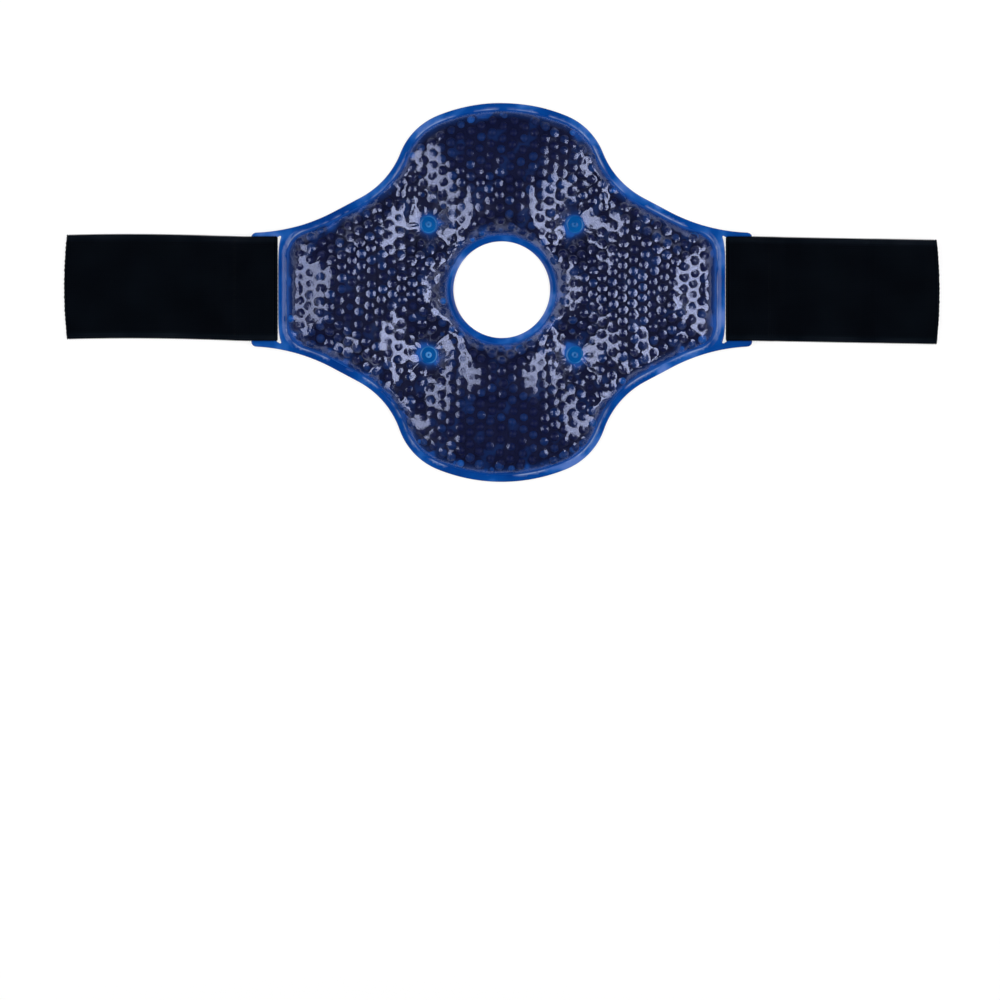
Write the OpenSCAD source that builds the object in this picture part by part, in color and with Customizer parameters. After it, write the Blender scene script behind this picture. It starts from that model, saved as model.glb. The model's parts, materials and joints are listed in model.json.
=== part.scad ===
// Hot and cold gel-bead knee wrap: a cross-shaped film pouch with a knee opening and two elastic straps.
// It lies on its back: X runs along the straps, Y from shin to thigh and Z up through the front film.
// The origin is the centre of the knee opening, on the back face. All sizes are in millimetres.

/* [Pouch outline] */
// Reach of the top lobe from the centre of the knee opening
top_reach = 107.3; // [98:0.1:118]
// Reach of the bottom lobe
bottom_reach = 110.5; // [98:0.1:118]
// Half of a lobe's width
lobe_half_w = 61; // [56:0.5:66]
// Radius of a lobe's crown
lobe_crown_r = 98; // [84:1:120]
// Radius of a lobe's shoulders
shoulder_r = 38.5; // [30:0.5:46]
// Radius of the waist between a lobe and a wing
waist_r = 50; // [44:0.5:56]
// Distance of the waist's centre from the strap line
waist_y = 97; // [92:0.5:104]
// Slope of a wing's edge, in degrees
wing_slope = 28; // [24:0.5:32]
// Radius of the flare from a wing into its tab
flare_r = 104; // [80:1:120]

/* [Film and welds] */
// Thickness of one film
film_t = 0.5; // [0.3:0.05:0.8]
// Width of the weld along the rim
rim_w = 4.5; // [3:0.1:6]
// Diameter of the knee opening
knee_d = 55.5; // [44:0.5:62]
// Width of the weld round the knee opening
ring_w = 3.5; // [2.5:0.1:5]
// Distance of a spot weld from the middle, along the straps
spot_x = 42; // [38:0.5:48]
// Distance of a spot weld from the middle, across the straps
spot_y = 37.5; // [33:0.5:42]
// Diameter of a spot weld
spot_d = 10.3; // [7:0.1:13]
// Diameter of the raised ring on a spot weld
boss_d = 3.6; // [2.5:0.1:5]
// Diameter of the hollow in that ring
boss_hole_d = 1.2; // [0.6:0.1:1.8]
// Height of that ring
boss_h = 0.4; // [0.2:0.05:0.8]

/* [Filling] */
// Height of the filled crown above the welds
fill_h = 10; // [6:0.5:14]
// Run from the rim weld to full height
edge_run = 34; // [24:1:40]
// Run from the ring weld to full height
ring_run = 18; // [12:1:24]
// Run from a spot weld to full height
spot_run = 17; // [12:1:22]
// Radius of the filling's corners at the wing ends
fill_corner_r = 14; // [8:0.5:18]
// Gap between the filling and the back film
fill_clear = 0.3; // [0.2:0.05:0.5]
// Gap between the filling's edge and the welds
fill_inset = 3; // [2.6:0.1:4]
// Gap between the filling and a spot weld
fill_spot_gap = 4; // [3.5:0.1:6]
// Spacing of the gel beads, whose rows run from shin to thigh
bead_pitch = 6.7; // [5.6:0.1:8]
// Depth of the hollows between the beads
bead_dip = 2; // [1:0.1:2.4]
// Gap between the beads and the front film
bead_clear = 1.8; // [1.6:0.1:2.4]

/* [Tabs] */
// Distance of a slot's near edge from the middle
slot_x = 126.6; // [122:0.2:134]
// Width of a slot
slot_w = 4.4; // [4:0.1:6]
// Width of the bar outside a slot
bar_w = 13; // [9:0.5:16]
// Weld between the filling and the slot
tab_land = 3.6; // [3:0.1:6]
// Flat start of that weld, before the tab rises over the strap
tab_flat = 1.2; // [0.8:0.1:1.6]
// Film left above and below a slot
tab_margin = 2.2; // [1.5:0.1:5]
// Gap between a slot's end and the strap's edge
slot_clear = 0.5; // [0.3:0.1:1.2]

/* [Straps] */
// Width of the elastic
strap_w = 60; // [50:1:66]
// Thickness of the elastic
strap_t = 1.4; // [1:0.1:1.8]
// Free length of a strap outside its tab
strap_free = 106; // [96:1:140]
// Length of the sewn lap behind the loop
lap_l = 9; // [7:0.5:14]
// Length of the ramp at either end of the lap
lap_ramp = 4; // [3:0.5:5]
// Length of the tail between the strap's bend and its stretch joint
tail_l = 18; // [12:1:24]
// Length of the strap's end
end_l = 42; // [40:1:50]
// Gap between the elastic and the bar in its loop
loop_clear = 0.25; // [0.15:0.05:0.4]
// Length of one stitch
stitch_l = 2.4; // [1.6:0.1:3]
// Spacing of the stitches
stitch_pitch = 3.3; // [3.2:0.1:4.5]
// Thickness of the thread
thread_t = 0.5; // [0.3:0.05:0.7]
// Length of the hook patch
hook_l = 30; // [20:1:32]
// Thickness of the hook patch
hook_t = 1.2; // [0.8:0.1:1.6]
// Margin between the hook patch and the strap's edges
hook_margin = 4; // [2:0.5:6]

/* [Gaps] */
// Gap between two parts of the pouch at a fold line
fold_gap = 0.4; // [0.3:0.05:0.8]
// Gap between two moving parts of a strap
strap_gap = 0.4; // [0.3:0.05:0.6]
// Gap between the front film and the round ring weld
seam_clear = 0.15; // [0.05:0.05:0.2]
// How far outside the rim two fold lines meet
fold_out = 1; // [0.6:0.1:2]

/* [Hidden] */
$fn = 72;

film_color = [0.30, 0.45, 0.85, 0.6];
weld_color = [0.05, 0.28, 0.67];
gel_color = [0.06, 0.07, 0.26];
strap_color = [0.04, 0.05, 0.07];
thread_color = [0.02, 0.02, 0.03];
hook_color = [0.12, 0.12, 0.13];

weld_t = 2 * film_t;
ring_r = knee_d / 2 + ring_w;
film_ring_r = ring_r + seam_clear;
tab_reach = slot_x + slot_w + bar_w;
tab_x = slot_x - tab_land + tab_flat;
fill_reach = slot_x - tab_land;
slot_h = strap_w + 2 * slot_clear;
tab_half_h = slot_h / 2 + tab_margin;
tab_lift = strap_t + loop_clear;
loop_h = 2 * tab_lift + weld_t;
loop_end_x = tab_reach + 2 * loop_clear;
strap_fold_x = loop_end_x + strap_gap + loop_h / 2;
lap_x = strap_fold_x + lap_l;
strap_reach = tab_reach + strap_free;
stretch_x = strap_reach - end_l;
bend_x = stretch_x - tail_l;
band_end_x = bend_x - strap_t / 2 - strap_gap;
hook_x = strap_reach - hook_margin - hook_l;
stitch_x = strap_fold_x + (lap_l + lap_ramp) / 2;
stitch_count = floor((strap_w - 2 * slot_clear) / stitch_pitch);
fill_floor = film_t + fill_clear;
bead_step = [bead_pitch * sin(60), bead_pitch / 2];
bead_base = film_t - bead_clear;
cut_over = 1;
thread_sides = 8;

// Steps along each stretch of an edge, and across a patch of film
waist_steps = 4;
shoulder_steps = 6;
crown_steps = 4;
line_steps = 2;
flare_steps = 3;
corner_steps = 4;
end_steps = 2;
fold_steps = 11;
patch_steps = 3;
center_steps = 7;
outer_shares = [for (k = [0:patch_steps]) sin(90 * k / patch_steps)];
center_shares = [for (k = [0:center_steps]) (1 - cos(180 * k / center_steps)) / 2];

// Outline of the pouch: arcs that run into each other, seen from the strap line towards a lobe
function polar(r, a) = r * [cos(a), sin(a)];
function arc(c, r, from, to, n) = [for (k = [1:n]) c + polar(r, from + (to - from) * k / n)];
function line(a, b, n) = [for (k = [1:n]) a + (b - a) * k / n];
function reversed(path) = [for (k = [len(path) - 1:-1:0]) path[k]];
function flip_x(path) = reversed([for (p = path) [-p.x, p.y]]);
function flip_y(path) = reversed([for (p = path) [p.x, -p.y]]);

function crown_c(reach) = [0, reach - lobe_crown_r];
function shoulder_c(reach) =
    let (x = lobe_half_w - shoulder_r, r = lobe_crown_r - shoulder_r)
    [x, crown_c(reach).y + sqrt(r * r - x * x)];
function crown_angle(reach) = let (d = shoulder_c(reach) - crown_c(reach)) atan2(d.y, d.x);
function waist_angle(reach) = asin((waist_y - shoulder_c(reach).y) / (shoulder_r + waist_r));
function waist_c(reach) = shoulder_c(reach) + polar(shoulder_r + waist_r, waist_angle(reach));
function waist_angle_at_y(y, inset) = 180 + asin((waist_y - y) / (waist_r + inset));
function waist_angle_at_x(reach, x, inset) = 360 - acos((x - waist_c(reach).x) / (waist_r + inset));
wing_angle = 270 - wing_slope;
function flare_c(reach) =
    let (p = waist_c(reach) + polar(waist_r, wing_angle))
    [p.x + (p.y - tab_half_h) / tan(wing_slope) + flare_r * tan(wing_slope / 2), tab_half_h + flare_r];
function flare_y(reach, x) =
    let (c = flare_c(reach))
    x >= c.x ? tab_half_h : c.y - sqrt(flare_r * flare_r - pow(x - c.x, 2));
function flare_angle_at_x(reach, x) = 360 - acos((x - flare_c(reach).x) / flare_r);
// Centre of the filling's round corner at a wing's end, which touches the flare
function corner_c(reach) =
    let (x = fill_reach - fill_corner_r, r = flare_r + rim_w + fill_corner_r, f = flare_c(reach))
    [x, f.y - sqrt(r * r - pow(x - f.x, 2))];
function corner_angle(reach) = let (d = corner_c(reach) - flare_c(reach)) 360 + atan2(d.y, d.x);

// Fold lines meet just outside the middle of the waist
fold_r = (waist_r - fold_out) * cos(45);
fold_x = max(waist_c(top_reach).x, waist_c(bottom_reach).x) - fold_r;
fold_y = waist_y - fold_r;
half_gap = fold_gap / 2;

// One side of a lobe, from its fold line to the middle of its crown
function lobe_side(reach, inset) =
    let (start = waist_angle_at_y(fold_y + half_gap, inset),
        a = waist_angle(reach), b = crown_angle(reach))
    concat(
        [waist_c(reach) + polar(waist_r + inset, start)],
        arc(waist_c(reach), waist_r + inset, start, 180 + a, waist_steps),
        arc(shoulder_c(reach), shoulder_r - inset, a, b, shoulder_steps),
        arc(crown_c(reach), lobe_crown_r - inset, b, 90, crown_steps));
// A lobe's whole edge, counter-clockwise
function lobe_edge(reach, inset) =
    let (side = lobe_side(reach, inset), other = flip_x(side))
    concat(side, [for (k = [1:len(other) - 1]) other[k]]);
// The waist where it crosses the middle part, from the wing's fold line to the lobe's
function waist_edge(reach, inset) =
    let (from = waist_angle_at_x(reach, fold_x - half_gap, inset),
        to = waist_angle_at_y(fold_y - half_gap, inset))
    concat(
        [waist_c(reach) + polar(waist_r + inset, from)],
        arc(waist_c(reach), waist_r + inset, from, to, waist_steps));
// A wing's straight edge and the waist before it, from the fold line outwards
function wing_slant(reach, inset) =
    let (start = waist_angle_at_x(reach, fold_x + half_gap, inset),
        a = waist_c(reach) + polar(waist_r + inset, wing_angle),
        b = flare_c(reach) + polar(flare_r + inset, wing_angle))
    concat(
        [waist_c(reach) + polar(waist_r + inset, start)],
        arc(waist_c(reach), waist_r + inset, start, wing_angle, waist_steps),
        line(a, b, line_steps));
// One side of a wing's outline, from the fold line to the start of the tab
function wing_rim(reach) = concat(
    wing_slant(reach, 0),
    arc(flare_c(reach), flare_r, wing_angle, flare_angle_at_x(reach, tab_x), flare_steps));
// One side of the filled part of a wing, from the fold line round the corner to the wing's end
function wing_side(reach, inset) =
    let (stop = corner_angle(reach))
    concat(
        wing_slant(reach, rim_w + inset),
        arc(flare_c(reach), flare_r + rim_w + inset, wing_angle, stop, flare_steps),
        arc(corner_c(reach), fill_corner_r - inset, stop - 180, 0, corner_steps));
// The filled part of the right wing, counter-clockwise
function wing_edge(inset) =
    let (top = reversed(wing_side(top_reach, inset)),
        low = reversed(flip_y(wing_side(bottom_reach, inset))))
    concat(low, line(low[len(low) - 1], top[0], end_steps), [for (k = [1:len(top) - 1]) top[k]]);
// The filled middle part between the fold lines, counter-clockwise
function center_edge(inset) =
    let (top = waist_edge(top_reach, rim_w + inset), low = waist_edge(bottom_reach, rim_w + inset),
        corners = [top, flip_x(top), [for (p = low) -p], flip_y(low)])
    [for (n = [0:3])
        let (from = corners[n], a = from[len(from) - 1], b = corners[(n + 1) % 4][0])
        each concat(from, [for (k = [1:fold_steps - 1]) a + (b - a) * k / fold_steps])];

// How far a point lies from the welds
function segment_gap(p, a, b) =
    let (d = b - a, u = max(0, min(1, ((p - a) * d) / (d * d))))
    norm(p - a - u * d);
function quarter_edge(reach) = concat(
    reversed(lobe_side(reach, rim_w)), reversed(waist_edge(reach, rim_w)),
    wing_side(reach, 0), [[fill_reach, 0]]);
top_quarter = quarter_edge(top_reach);
bottom_quarter = quarter_edge(bottom_reach);
// A line towards +X from a point inside the pouch crosses the edge an odd number of times
function crossings(q, edge) = len([for (k = [1:len(edge) - 1])
    let (a = edge[k - 1], b = edge[k])
    if ((a.y > q.y) != (b.y > q.y) && q.x < a.x + (b.x - a.x) * (q.y - a.y) / (b.y - a.y)) k]);
function edge_gap(p) =
    let (q = [abs(p.x), abs(p.y)], edge = p.y < 0 ? bottom_quarter : top_quarter)
    crossings(q, edge) % 2 == 0 ? 0 : min([for (k = [1:len(edge) - 1]) segment_gap(q, edge[k - 1], edge[k])]);
function ring_gap(p) = max(0, norm(p) - film_ring_r);
function spot_gap(p) = max(0, norm([abs(p.x) - spot_x, abs(p.y) - spot_y]) - spot_d / 2);

// Height of the crown above the welds: round along the rim and the ring, dimpled at the spot welds
function round_rise(gap, run) = sqrt(1 - pow(1 - min(1, gap / run), 2));
function soft_rise(gap, run) = let (s = min(1, gap / run)) s * s * (3 - 2 * s);
function crown(p) = fill_h * round_rise(edge_gap(p), edge_run) * round_rise(ring_gap(p), ring_run)
    * soft_rise(spot_gap(p), spot_run);

// Columns of points from a straight fold line out to an edge, which starts and ends on that line
function fan(edge) =
    let (n = len(edge) - 1)
    [for (i = [0:n])
        let (base = edge[0] + (edge[n] - edge[0]) * i / n)
        i == 0 || i == n ? [edge[i]] : [for (t = outer_shares) base + (edge[i] - base) * t]];
// Columns of points from a circle out to the edge round it
function spokes(edge, r) = [for (p = edge)
    let (base = p * (r / norm(p)))
    [for (t = center_shares) base + (p - base) * t]];
function ends(columns) = [for (c = columns) len(c) == 1 ? c : [c[0], c[len(c) - 1]]];
function crowned(columns, z) = [for (c = columns) [for (p = c) [p.x, p.y, z + crown(p)]]];
function level(columns, z) = [for (c = columns) [for (p = c) [p.x, p.y, z]]];

// A closed layer between two sets of columns, of which an end column may be a single point
function firsts(columns) = [for (i = 0, n = 0; i < len(columns); n = n + len(columns[i]), i = i + 1) n];
function rows(columns) = max([for (c = columns) len(c)]) - 1;
function index(columns, first, i, k) = let (c = i % len(columns)) first[c] + min(k, len(columns[c]) - 1);
function skin(columns, first, n) = [for (i = [0:n - 1], k = [0:rows(columns) - 1])
    let (a = index(columns, first, i, k), b = index(columns, first, i + 1, k),
        c = index(columns, first, i + 1, k + 1), d = index(columns, first, i, k + 1))
    each (i + k) % 2 == 0 ? [[a, b, c], [a, c, d]] : [[a, b, d], [b, c, d]]];
function wall(top, top_first, low, low_first, n, top_k, low_k) = [for (i = [0:n - 1])
    let (a = index(top, top_first, i, top_k), b = index(top, top_first, i + 1, top_k),
        c = index(low, low_first, i + 1, low_k), d = index(low, low_first, i, low_k))
    each [[a, b, c], [a, c, d]]];
function shifted(first, by) = [for (n = first) n + by];
function turned(faces) = [for (f = faces) [f[2], f[1], f[0]]];
function sound(faces) = [for (f = faces) if (f[0] != f[1] && f[1] != f[2] && f[2] != f[0]) f];
module layer(top, low, closed) {
    points = [for (c = concat(top, low)) each c];
    n = closed ? len(top) : len(top) - 1;
    top_first = firsts(top);
    low_first = shifted(firsts(low), len([for (c = top) each c]));
    polyhedron(points, sound(concat(
        skin(top, top_first, n),
        turned(skin(low, low_first, n)),
        wall(top, top_first, low, low_first, n, rows(top), rows(low)),
        turned(wall(top, top_first, low, low_first, n, 0, 0)))));
}

// Front film: follows the crown of the filling
module domed_film(columns, closed) layer(crowned(columns, weld_t), crowned(columns, film_t), closed);
module at_spots() for (x = [-spot_x, spot_x], y = [-spot_y, spot_y]) translate([x, y]) children();
module front_film_center() color(film_color) difference() {
    domed_film(spokes(center_edge(0), film_ring_r), true);
    at_spots() cylinder(d = spot_d, h = fill_h);
}
module front_film_right_wing() color(film_color) domed_film(fan(wing_edge(0)), false);
module front_film_left_wing() color(film_color) domed_film(fan(flip_x(wing_edge(0))), false);
module front_film_top_lobe() color(film_color) domed_film(fan(lobe_edge(top_reach, rim_w)), false);
module front_film_bottom_lobe() color(film_color)
    domed_film(fan(flip_y(lobe_edge(bottom_reach, rim_w))), false);

// Back film: flat where the wrap lies
module back_film_center() color(film_color) linear_extrude(film_t) difference() {
    polygon(center_edge(0));
    circle(ring_r);
    at_spots() circle(d = spot_d);
}
module back_film_right_wing() color(film_color) linear_extrude(film_t) polygon(wing_edge(0));
module back_film_left_wing() mirror([1, 0, 0]) back_film_right_wing();
module back_film_top_lobe() color(film_color) linear_extrude(film_t) polygon(lobe_edge(top_reach, rim_w));
module back_film_bottom_lobe() color(film_color)
    linear_extrude(film_t) polygon(flip_y(lobe_edge(bottom_reach, rim_w)));

// Filling: beads and liquid gel as one mass, a gap under the front film and inside the welds.
// Every other point of a grid is the top of a bead, and the points between lie in the hollows.
function bead_point(i, k) =
    let (p = [i * bead_step.x, k * bead_step.y], h = crown(p),
        dip = (i + k) % 2 == 0 ? 0 : min(bead_dip, h / 2))
    [p.x, p.y, bead_base + h - dip];
// Rows of points over a box, between a point below and one above it.
// The first row starts with a bead, so that the diagonals of the grid run along the hollows.
function bead_rows(low, high) =
    let (first_k = floor(low.y / bead_step.y), last_k = ceil(high.y / bead_step.y),
        near_i = floor(low.x / bead_step.x), last_i = ceil(high.x / bead_step.x),
        first_i = near_i - abs((near_i + first_k) % 2))
    concat(
        [[[low.x, low.y - bead_pitch, bead_base]]],
        [for (k = [first_k:last_k]) [for (i = [first_i:last_i]) bead_point(i, k)]],
        [[[low.x, high.y + bead_pitch, bead_base]]]);
module filling(zone) color(gel_color) intersection() {
    xs = [for (p = zone) p.x];
    ys = [for (p = zone) p.y];
    tops = bead_rows([min(xs), min(ys)], [max(xs), max(ys)]);
    layer(tops, level(ends(tops), bead_base - cut_over), false);
    translate([0, 0, fill_floor]) linear_extrude(fill_h) difference() {
        polygon(zone);
        children();
    }
}
module gel_beads_center() filling(center_edge(fill_inset)) {
    circle(film_ring_r + fill_inset);
    at_spots() circle(d = spot_d + 2 * fill_spot_gap);
}
module gel_beads_right_wing() filling(wing_edge(fill_inset));
module gel_beads_left_wing() filling(flip_x(wing_edge(fill_inset)));
module gel_beads_top_lobe() filling(lobe_edge(top_reach, rim_w + fill_inset));
module gel_beads_bottom_lobe() filling(flip_y(lobe_edge(bottom_reach, rim_w + fill_inset)));

// Welds: both films fused to one sheet
module weld(outer, inner) color(weld_color) linear_extrude(weld_t) polygon(concat(outer, reversed(inner)));
module waist_weld(reach) for (side = [0, 1])
    mirror([side, 0, 0]) weld(waist_edge(reach, 0), waist_edge(reach, rim_w));
module rim_weld_center() {
    waist_weld(top_reach);
    mirror([0, 1, 0]) waist_weld(bottom_reach);
}
module rim_weld_right_wing() weld(
    concat(reversed(flip_y(wing_rim(bottom_reach))), reversed(wing_rim(top_reach))), wing_edge(0));
module rim_weld_left_wing() mirror([1, 0, 0]) rim_weld_right_wing();
module rim_weld_top_lobe() weld(lobe_edge(top_reach, 0), lobe_edge(top_reach, rim_w));
module rim_weld_bottom_lobe()
    mirror([0, 1, 0]) weld(lobe_edge(bottom_reach, 0), lobe_edge(bottom_reach, rim_w));
module ring_weld() color(weld_color) difference() {
    cylinder(r = ring_r, h = weld_t);
    translate([0, 0, -cut_over]) cylinder(d = knee_d, h = weld_t + 2 * cut_over);
}
module spot_welds() color(weld_color) at_spots() {
    cylinder(d = spot_d, h = weld_t);
    translate([0, 0, weld_t]) difference() {
        cylinder(d = boss_d, h = boss_h);
        cylinder(d = boss_hole_d, h = boss_h + cut_over);
    }
}

// Tab: the end of a wing, which rises over the strap, with the slot that the strap threads
function tab_side(reach) = [for (k = [0:flare_steps])
    let (x = tab_x + (tab_reach - tab_x) * k / flare_steps)
    [x, flare_y(reach, x)]];
module right_tab() color(weld_color) difference() {
    intersection() {
        linear_extrude(loop_h)
            polygon(concat(reversed(flip_y(tab_side(bottom_reach))), reversed(tab_side(top_reach))));
        rotate([90, 0, 0]) linear_extrude(top_reach + bottom_reach, center = true) polygon([
            [tab_x, 0], [slot_x, tab_lift], [tab_reach, tab_lift], [tab_reach, tab_lift + weld_t],
            [slot_x, tab_lift + weld_t], [tab_x, weld_t]]);
    }
    translate([slot_x, -slot_h / 2, -cut_over]) cube([slot_w, slot_h, loop_h + 2 * cut_over]);
}
module left_tab() mirror([1, 0, 0]) right_tab();

// Strap: one band of elastic, drawn from its side and as wide as the strap
module band() color(strap_color) rotate([90, 0, 0]) linear_extrude(strap_w, center = true) children();
module loop_shape(inset) {
    x = slot_x + slot_w - loop_clear;
    translate([x, loop_h / 2]) circle(loop_h / 2 - inset);
    translate([x, inset]) square([loop_end_x - x + inset, loop_h - 2 * inset]);
}
module right_strap_loop() band() difference() {
    loop_shape(0);
    loop_shape(strap_t);
}
module right_strap_band() band() {
    translate([strap_fold_x, loop_h / 2]) circle(loop_h / 2);
    polygon([
        [strap_fold_x, 0], [band_end_x, 0], [band_end_x, strap_t],
        [lap_x + lap_ramp, strap_t], [lap_x, 2 * strap_t], [strap_fold_x + lap_ramp, 2 * strap_t],
        [strap_fold_x, loop_h]]);
}
module right_strap_tail() band() {
    translate([bend_x, strap_t / 2]) circle(strap_t / 2);
    translate([bend_x, 0]) square([tail_l - strap_gap / 2, strap_t]);
}
module strap_end(lift) band() polygon([
    [stretch_x + strap_gap / 2, 0], [hook_x - lap_ramp, 0], [hook_x, lift], [strap_reach, lift],
    [strap_reach, lift + strap_t], [hook_x, lift + strap_t], [hook_x - lap_ramp, strap_t],
    [stretch_x + strap_gap / 2, strap_t]]);
module right_strap_end() strap_end(hook_t);
module right_strap_stitches() color(thread_color) for (k = [0:stitch_count - 1])
    translate([stitch_x, (k - (stitch_count - 1) / 2) * stitch_pitch, 2 * strap_t + thread_t / 2])
        rotate([90, 0, 0]) cylinder(d = thread_t, h = stitch_l, center = true, $fn = thread_sides);
module left_strap_loop() mirror([1, 0, 0]) right_strap_loop();
module left_strap_band() mirror([1, 0, 0]) right_strap_band();
module left_strap_tail() mirror([1, 0, 0]) right_strap_tail();
module left_strap_end() mirror([1, 0, 0]) strap_end(0);
module left_strap_stitches() mirror([1, 0, 0]) right_strap_stitches();
module hook_patch() color(hook_color)
    translate([hook_x, hook_margin - strap_w / 2, 0]) cube([hook_l, strap_w - 2 * hook_margin, hook_t]);

front_film_center();
front_film_left_wing();
front_film_right_wing();
front_film_top_lobe();
front_film_bottom_lobe();
back_film_center();
back_film_left_wing();
back_film_right_wing();
back_film_top_lobe();
back_film_bottom_lobe();
gel_beads_center();
gel_beads_left_wing();
gel_beads_right_wing();
gel_beads_top_lobe();
gel_beads_bottom_lobe();
rim_weld_center();
rim_weld_left_wing();
rim_weld_right_wing();
rim_weld_top_lobe();
rim_weld_bottom_lobe();
ring_weld();
spot_welds();
left_tab();
right_tab();
left_strap_loop();
left_strap_band();
left_strap_tail();
left_strap_end();
left_strap_stitches();
right_strap_loop();
right_strap_band();
right_strap_tail();
right_strap_end();
right_strap_stitches();
hook_patch();
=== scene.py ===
import json
import math

import bpy
import numpy as np
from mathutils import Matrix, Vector, kdtree
from mathutils.geometry import delaunay_2d_cdt


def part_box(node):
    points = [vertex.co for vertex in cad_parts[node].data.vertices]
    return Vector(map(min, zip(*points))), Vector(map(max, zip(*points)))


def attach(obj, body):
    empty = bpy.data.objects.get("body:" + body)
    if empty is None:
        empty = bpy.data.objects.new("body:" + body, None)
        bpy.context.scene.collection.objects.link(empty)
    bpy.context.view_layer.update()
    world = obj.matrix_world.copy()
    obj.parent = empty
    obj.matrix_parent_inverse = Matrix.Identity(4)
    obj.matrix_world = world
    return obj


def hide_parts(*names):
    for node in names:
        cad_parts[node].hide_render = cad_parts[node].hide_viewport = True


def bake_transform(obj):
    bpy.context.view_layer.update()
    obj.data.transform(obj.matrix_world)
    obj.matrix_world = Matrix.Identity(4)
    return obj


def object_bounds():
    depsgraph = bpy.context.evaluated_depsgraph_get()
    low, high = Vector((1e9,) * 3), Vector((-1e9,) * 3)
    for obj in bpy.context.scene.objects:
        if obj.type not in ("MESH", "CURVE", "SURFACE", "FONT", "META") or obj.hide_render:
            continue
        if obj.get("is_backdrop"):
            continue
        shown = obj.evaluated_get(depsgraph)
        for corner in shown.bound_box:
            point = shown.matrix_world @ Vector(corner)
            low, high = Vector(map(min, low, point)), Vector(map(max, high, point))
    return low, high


# Gel-bead knee wrap: films, beads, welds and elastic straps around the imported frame
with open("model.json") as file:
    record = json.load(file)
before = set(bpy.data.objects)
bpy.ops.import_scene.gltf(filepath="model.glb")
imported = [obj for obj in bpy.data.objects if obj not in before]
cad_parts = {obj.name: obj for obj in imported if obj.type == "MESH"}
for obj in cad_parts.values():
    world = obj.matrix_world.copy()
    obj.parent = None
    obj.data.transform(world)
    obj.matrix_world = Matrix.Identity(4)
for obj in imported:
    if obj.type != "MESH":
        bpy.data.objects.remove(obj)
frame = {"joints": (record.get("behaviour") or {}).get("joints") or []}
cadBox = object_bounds()
mm = 0.001  # shapes are worked out in millimetres and become metres when a piece is made
joints = {j["name"]: j for j in frame["joints"]}
foldX = joints["right_wing_fold"]["pos_m"][0] / mm
foldY = joints["top_lobe_fold"]["pos_m"][1] / mm

# Outline of the pouch, the same arcs as the solids have
pouch = dict(
    topReach=107.3,
    bottomReach=110.5,
    lobeHalfWidth=61.0,
    crownRadius=98.0,
    shoulderRadius=38.5,
    waistRadius=50.0,
    waistY=97.0,
    wingSlope=28.0,
    flareRadius=104.0,
    rimWidth=4.5,
    fillReach=123.0,
    fillCorner=14.0,
    tabReach=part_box("right_tab")[1].x / mm,
    tabHalf=32.7,
    tabCorner=3.0,
    tabStart=124.2,
    kneeRadius=27.75,
    ringRadius=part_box("ring_weld")[1].x / mm,
    spots=[(x, y) for x in (-42.0, 42.0) for y in (-37.5, 37.5)],
    spotRadius=5.15,
    weldThick=1.0,
)


# Plane geometry
def unit(angle):
    return np.array([math.cos(math.radians(angle)), math.sin(math.radians(angle))])


def arc(center, radius, start, stop, step):
    count = max(2, math.ceil(abs(math.radians(stop - start)) * radius / step))
    angles = np.radians(np.linspace(start, stop, count + 1))
    return np.asarray(center) + radius * np.column_stack([np.cos(angles), np.sin(angles)])


def quarterEdge(reach, inset, endX, corner, cornerInset, step):
    # From the middle of a lobe's crown round the shoulder, waist and flare to the end of the wing
    p = pouch
    crownC = np.array([0.0, reach - p["crownRadius"]])
    sideX = p["lobeHalfWidth"] - p["shoulderRadius"]
    shoulderC = crownC + [sideX, math.sqrt((p["crownRadius"] - p["shoulderRadius"]) ** 2 - sideX**2)]
    crownAngle = math.degrees(math.atan2(shoulderC[1] - crownC[1], shoulderC[0]))
    span = p["shoulderRadius"] + p["waistRadius"]
    waistAngle = math.degrees(math.asin((p["waistY"] - shoulderC[1]) / span))
    waistC = shoulderC + span * unit(waistAngle)
    wingAngle = 270 - p["wingSlope"]
    slope = math.radians(p["wingSlope"])
    bend = waistC + p["waistRadius"] * unit(wingAngle)
    flareX = bend[0] + (bend[1] - p["tabHalf"]) / math.tan(slope) + p["flareRadius"] * math.tan(slope / 2)
    flareC = np.array([flareX, p["tabHalf"] + p["flareRadius"]])
    reachOut = p["flareRadius"] + cornerInset + corner
    cornerX = endX - corner
    cornerC = np.array([cornerX, flareC[1] - math.sqrt(reachOut**2 - (cornerX - flareX) ** 2)])
    cornerAngle = 360 + math.degrees(math.atan2(cornerC[1] - flareC[1], cornerC[0] - flareC[0]))
    more = inset - cornerInset
    return np.concatenate([
        arc(crownC, p["crownRadius"] - inset, 90, crownAngle, step),
        arc(shoulderC, p["shoulderRadius"] - inset, crownAngle, waistAngle, step),
        arc(waistC, p["waistRadius"] + inset, 180 + waistAngle, wingAngle, step),
        arc(flareC, p["flareRadius"] + inset, wingAngle, cornerAngle, step),
        arc(cornerC, corner - more, cornerAngle - 180, 0, step),
        [[endX - more, 0.0]],
    ])


def evenly(line, step, closed=True):
    # The same line with points at even steps
    points = np.concatenate([line, line[:1]]) if closed else np.asarray(line)
    along = np.concatenate([[0], np.cumsum(np.linalg.norm(np.diff(points, axis=0), axis=1))])
    count = max(3, round(along[-1] / step))
    at = np.linspace(0, along[-1], count + 1)
    if closed:
        at = at[:-1]
    return np.column_stack([np.interp(at, along, points[:, k]) for k in range(points.shape[1])])


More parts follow.
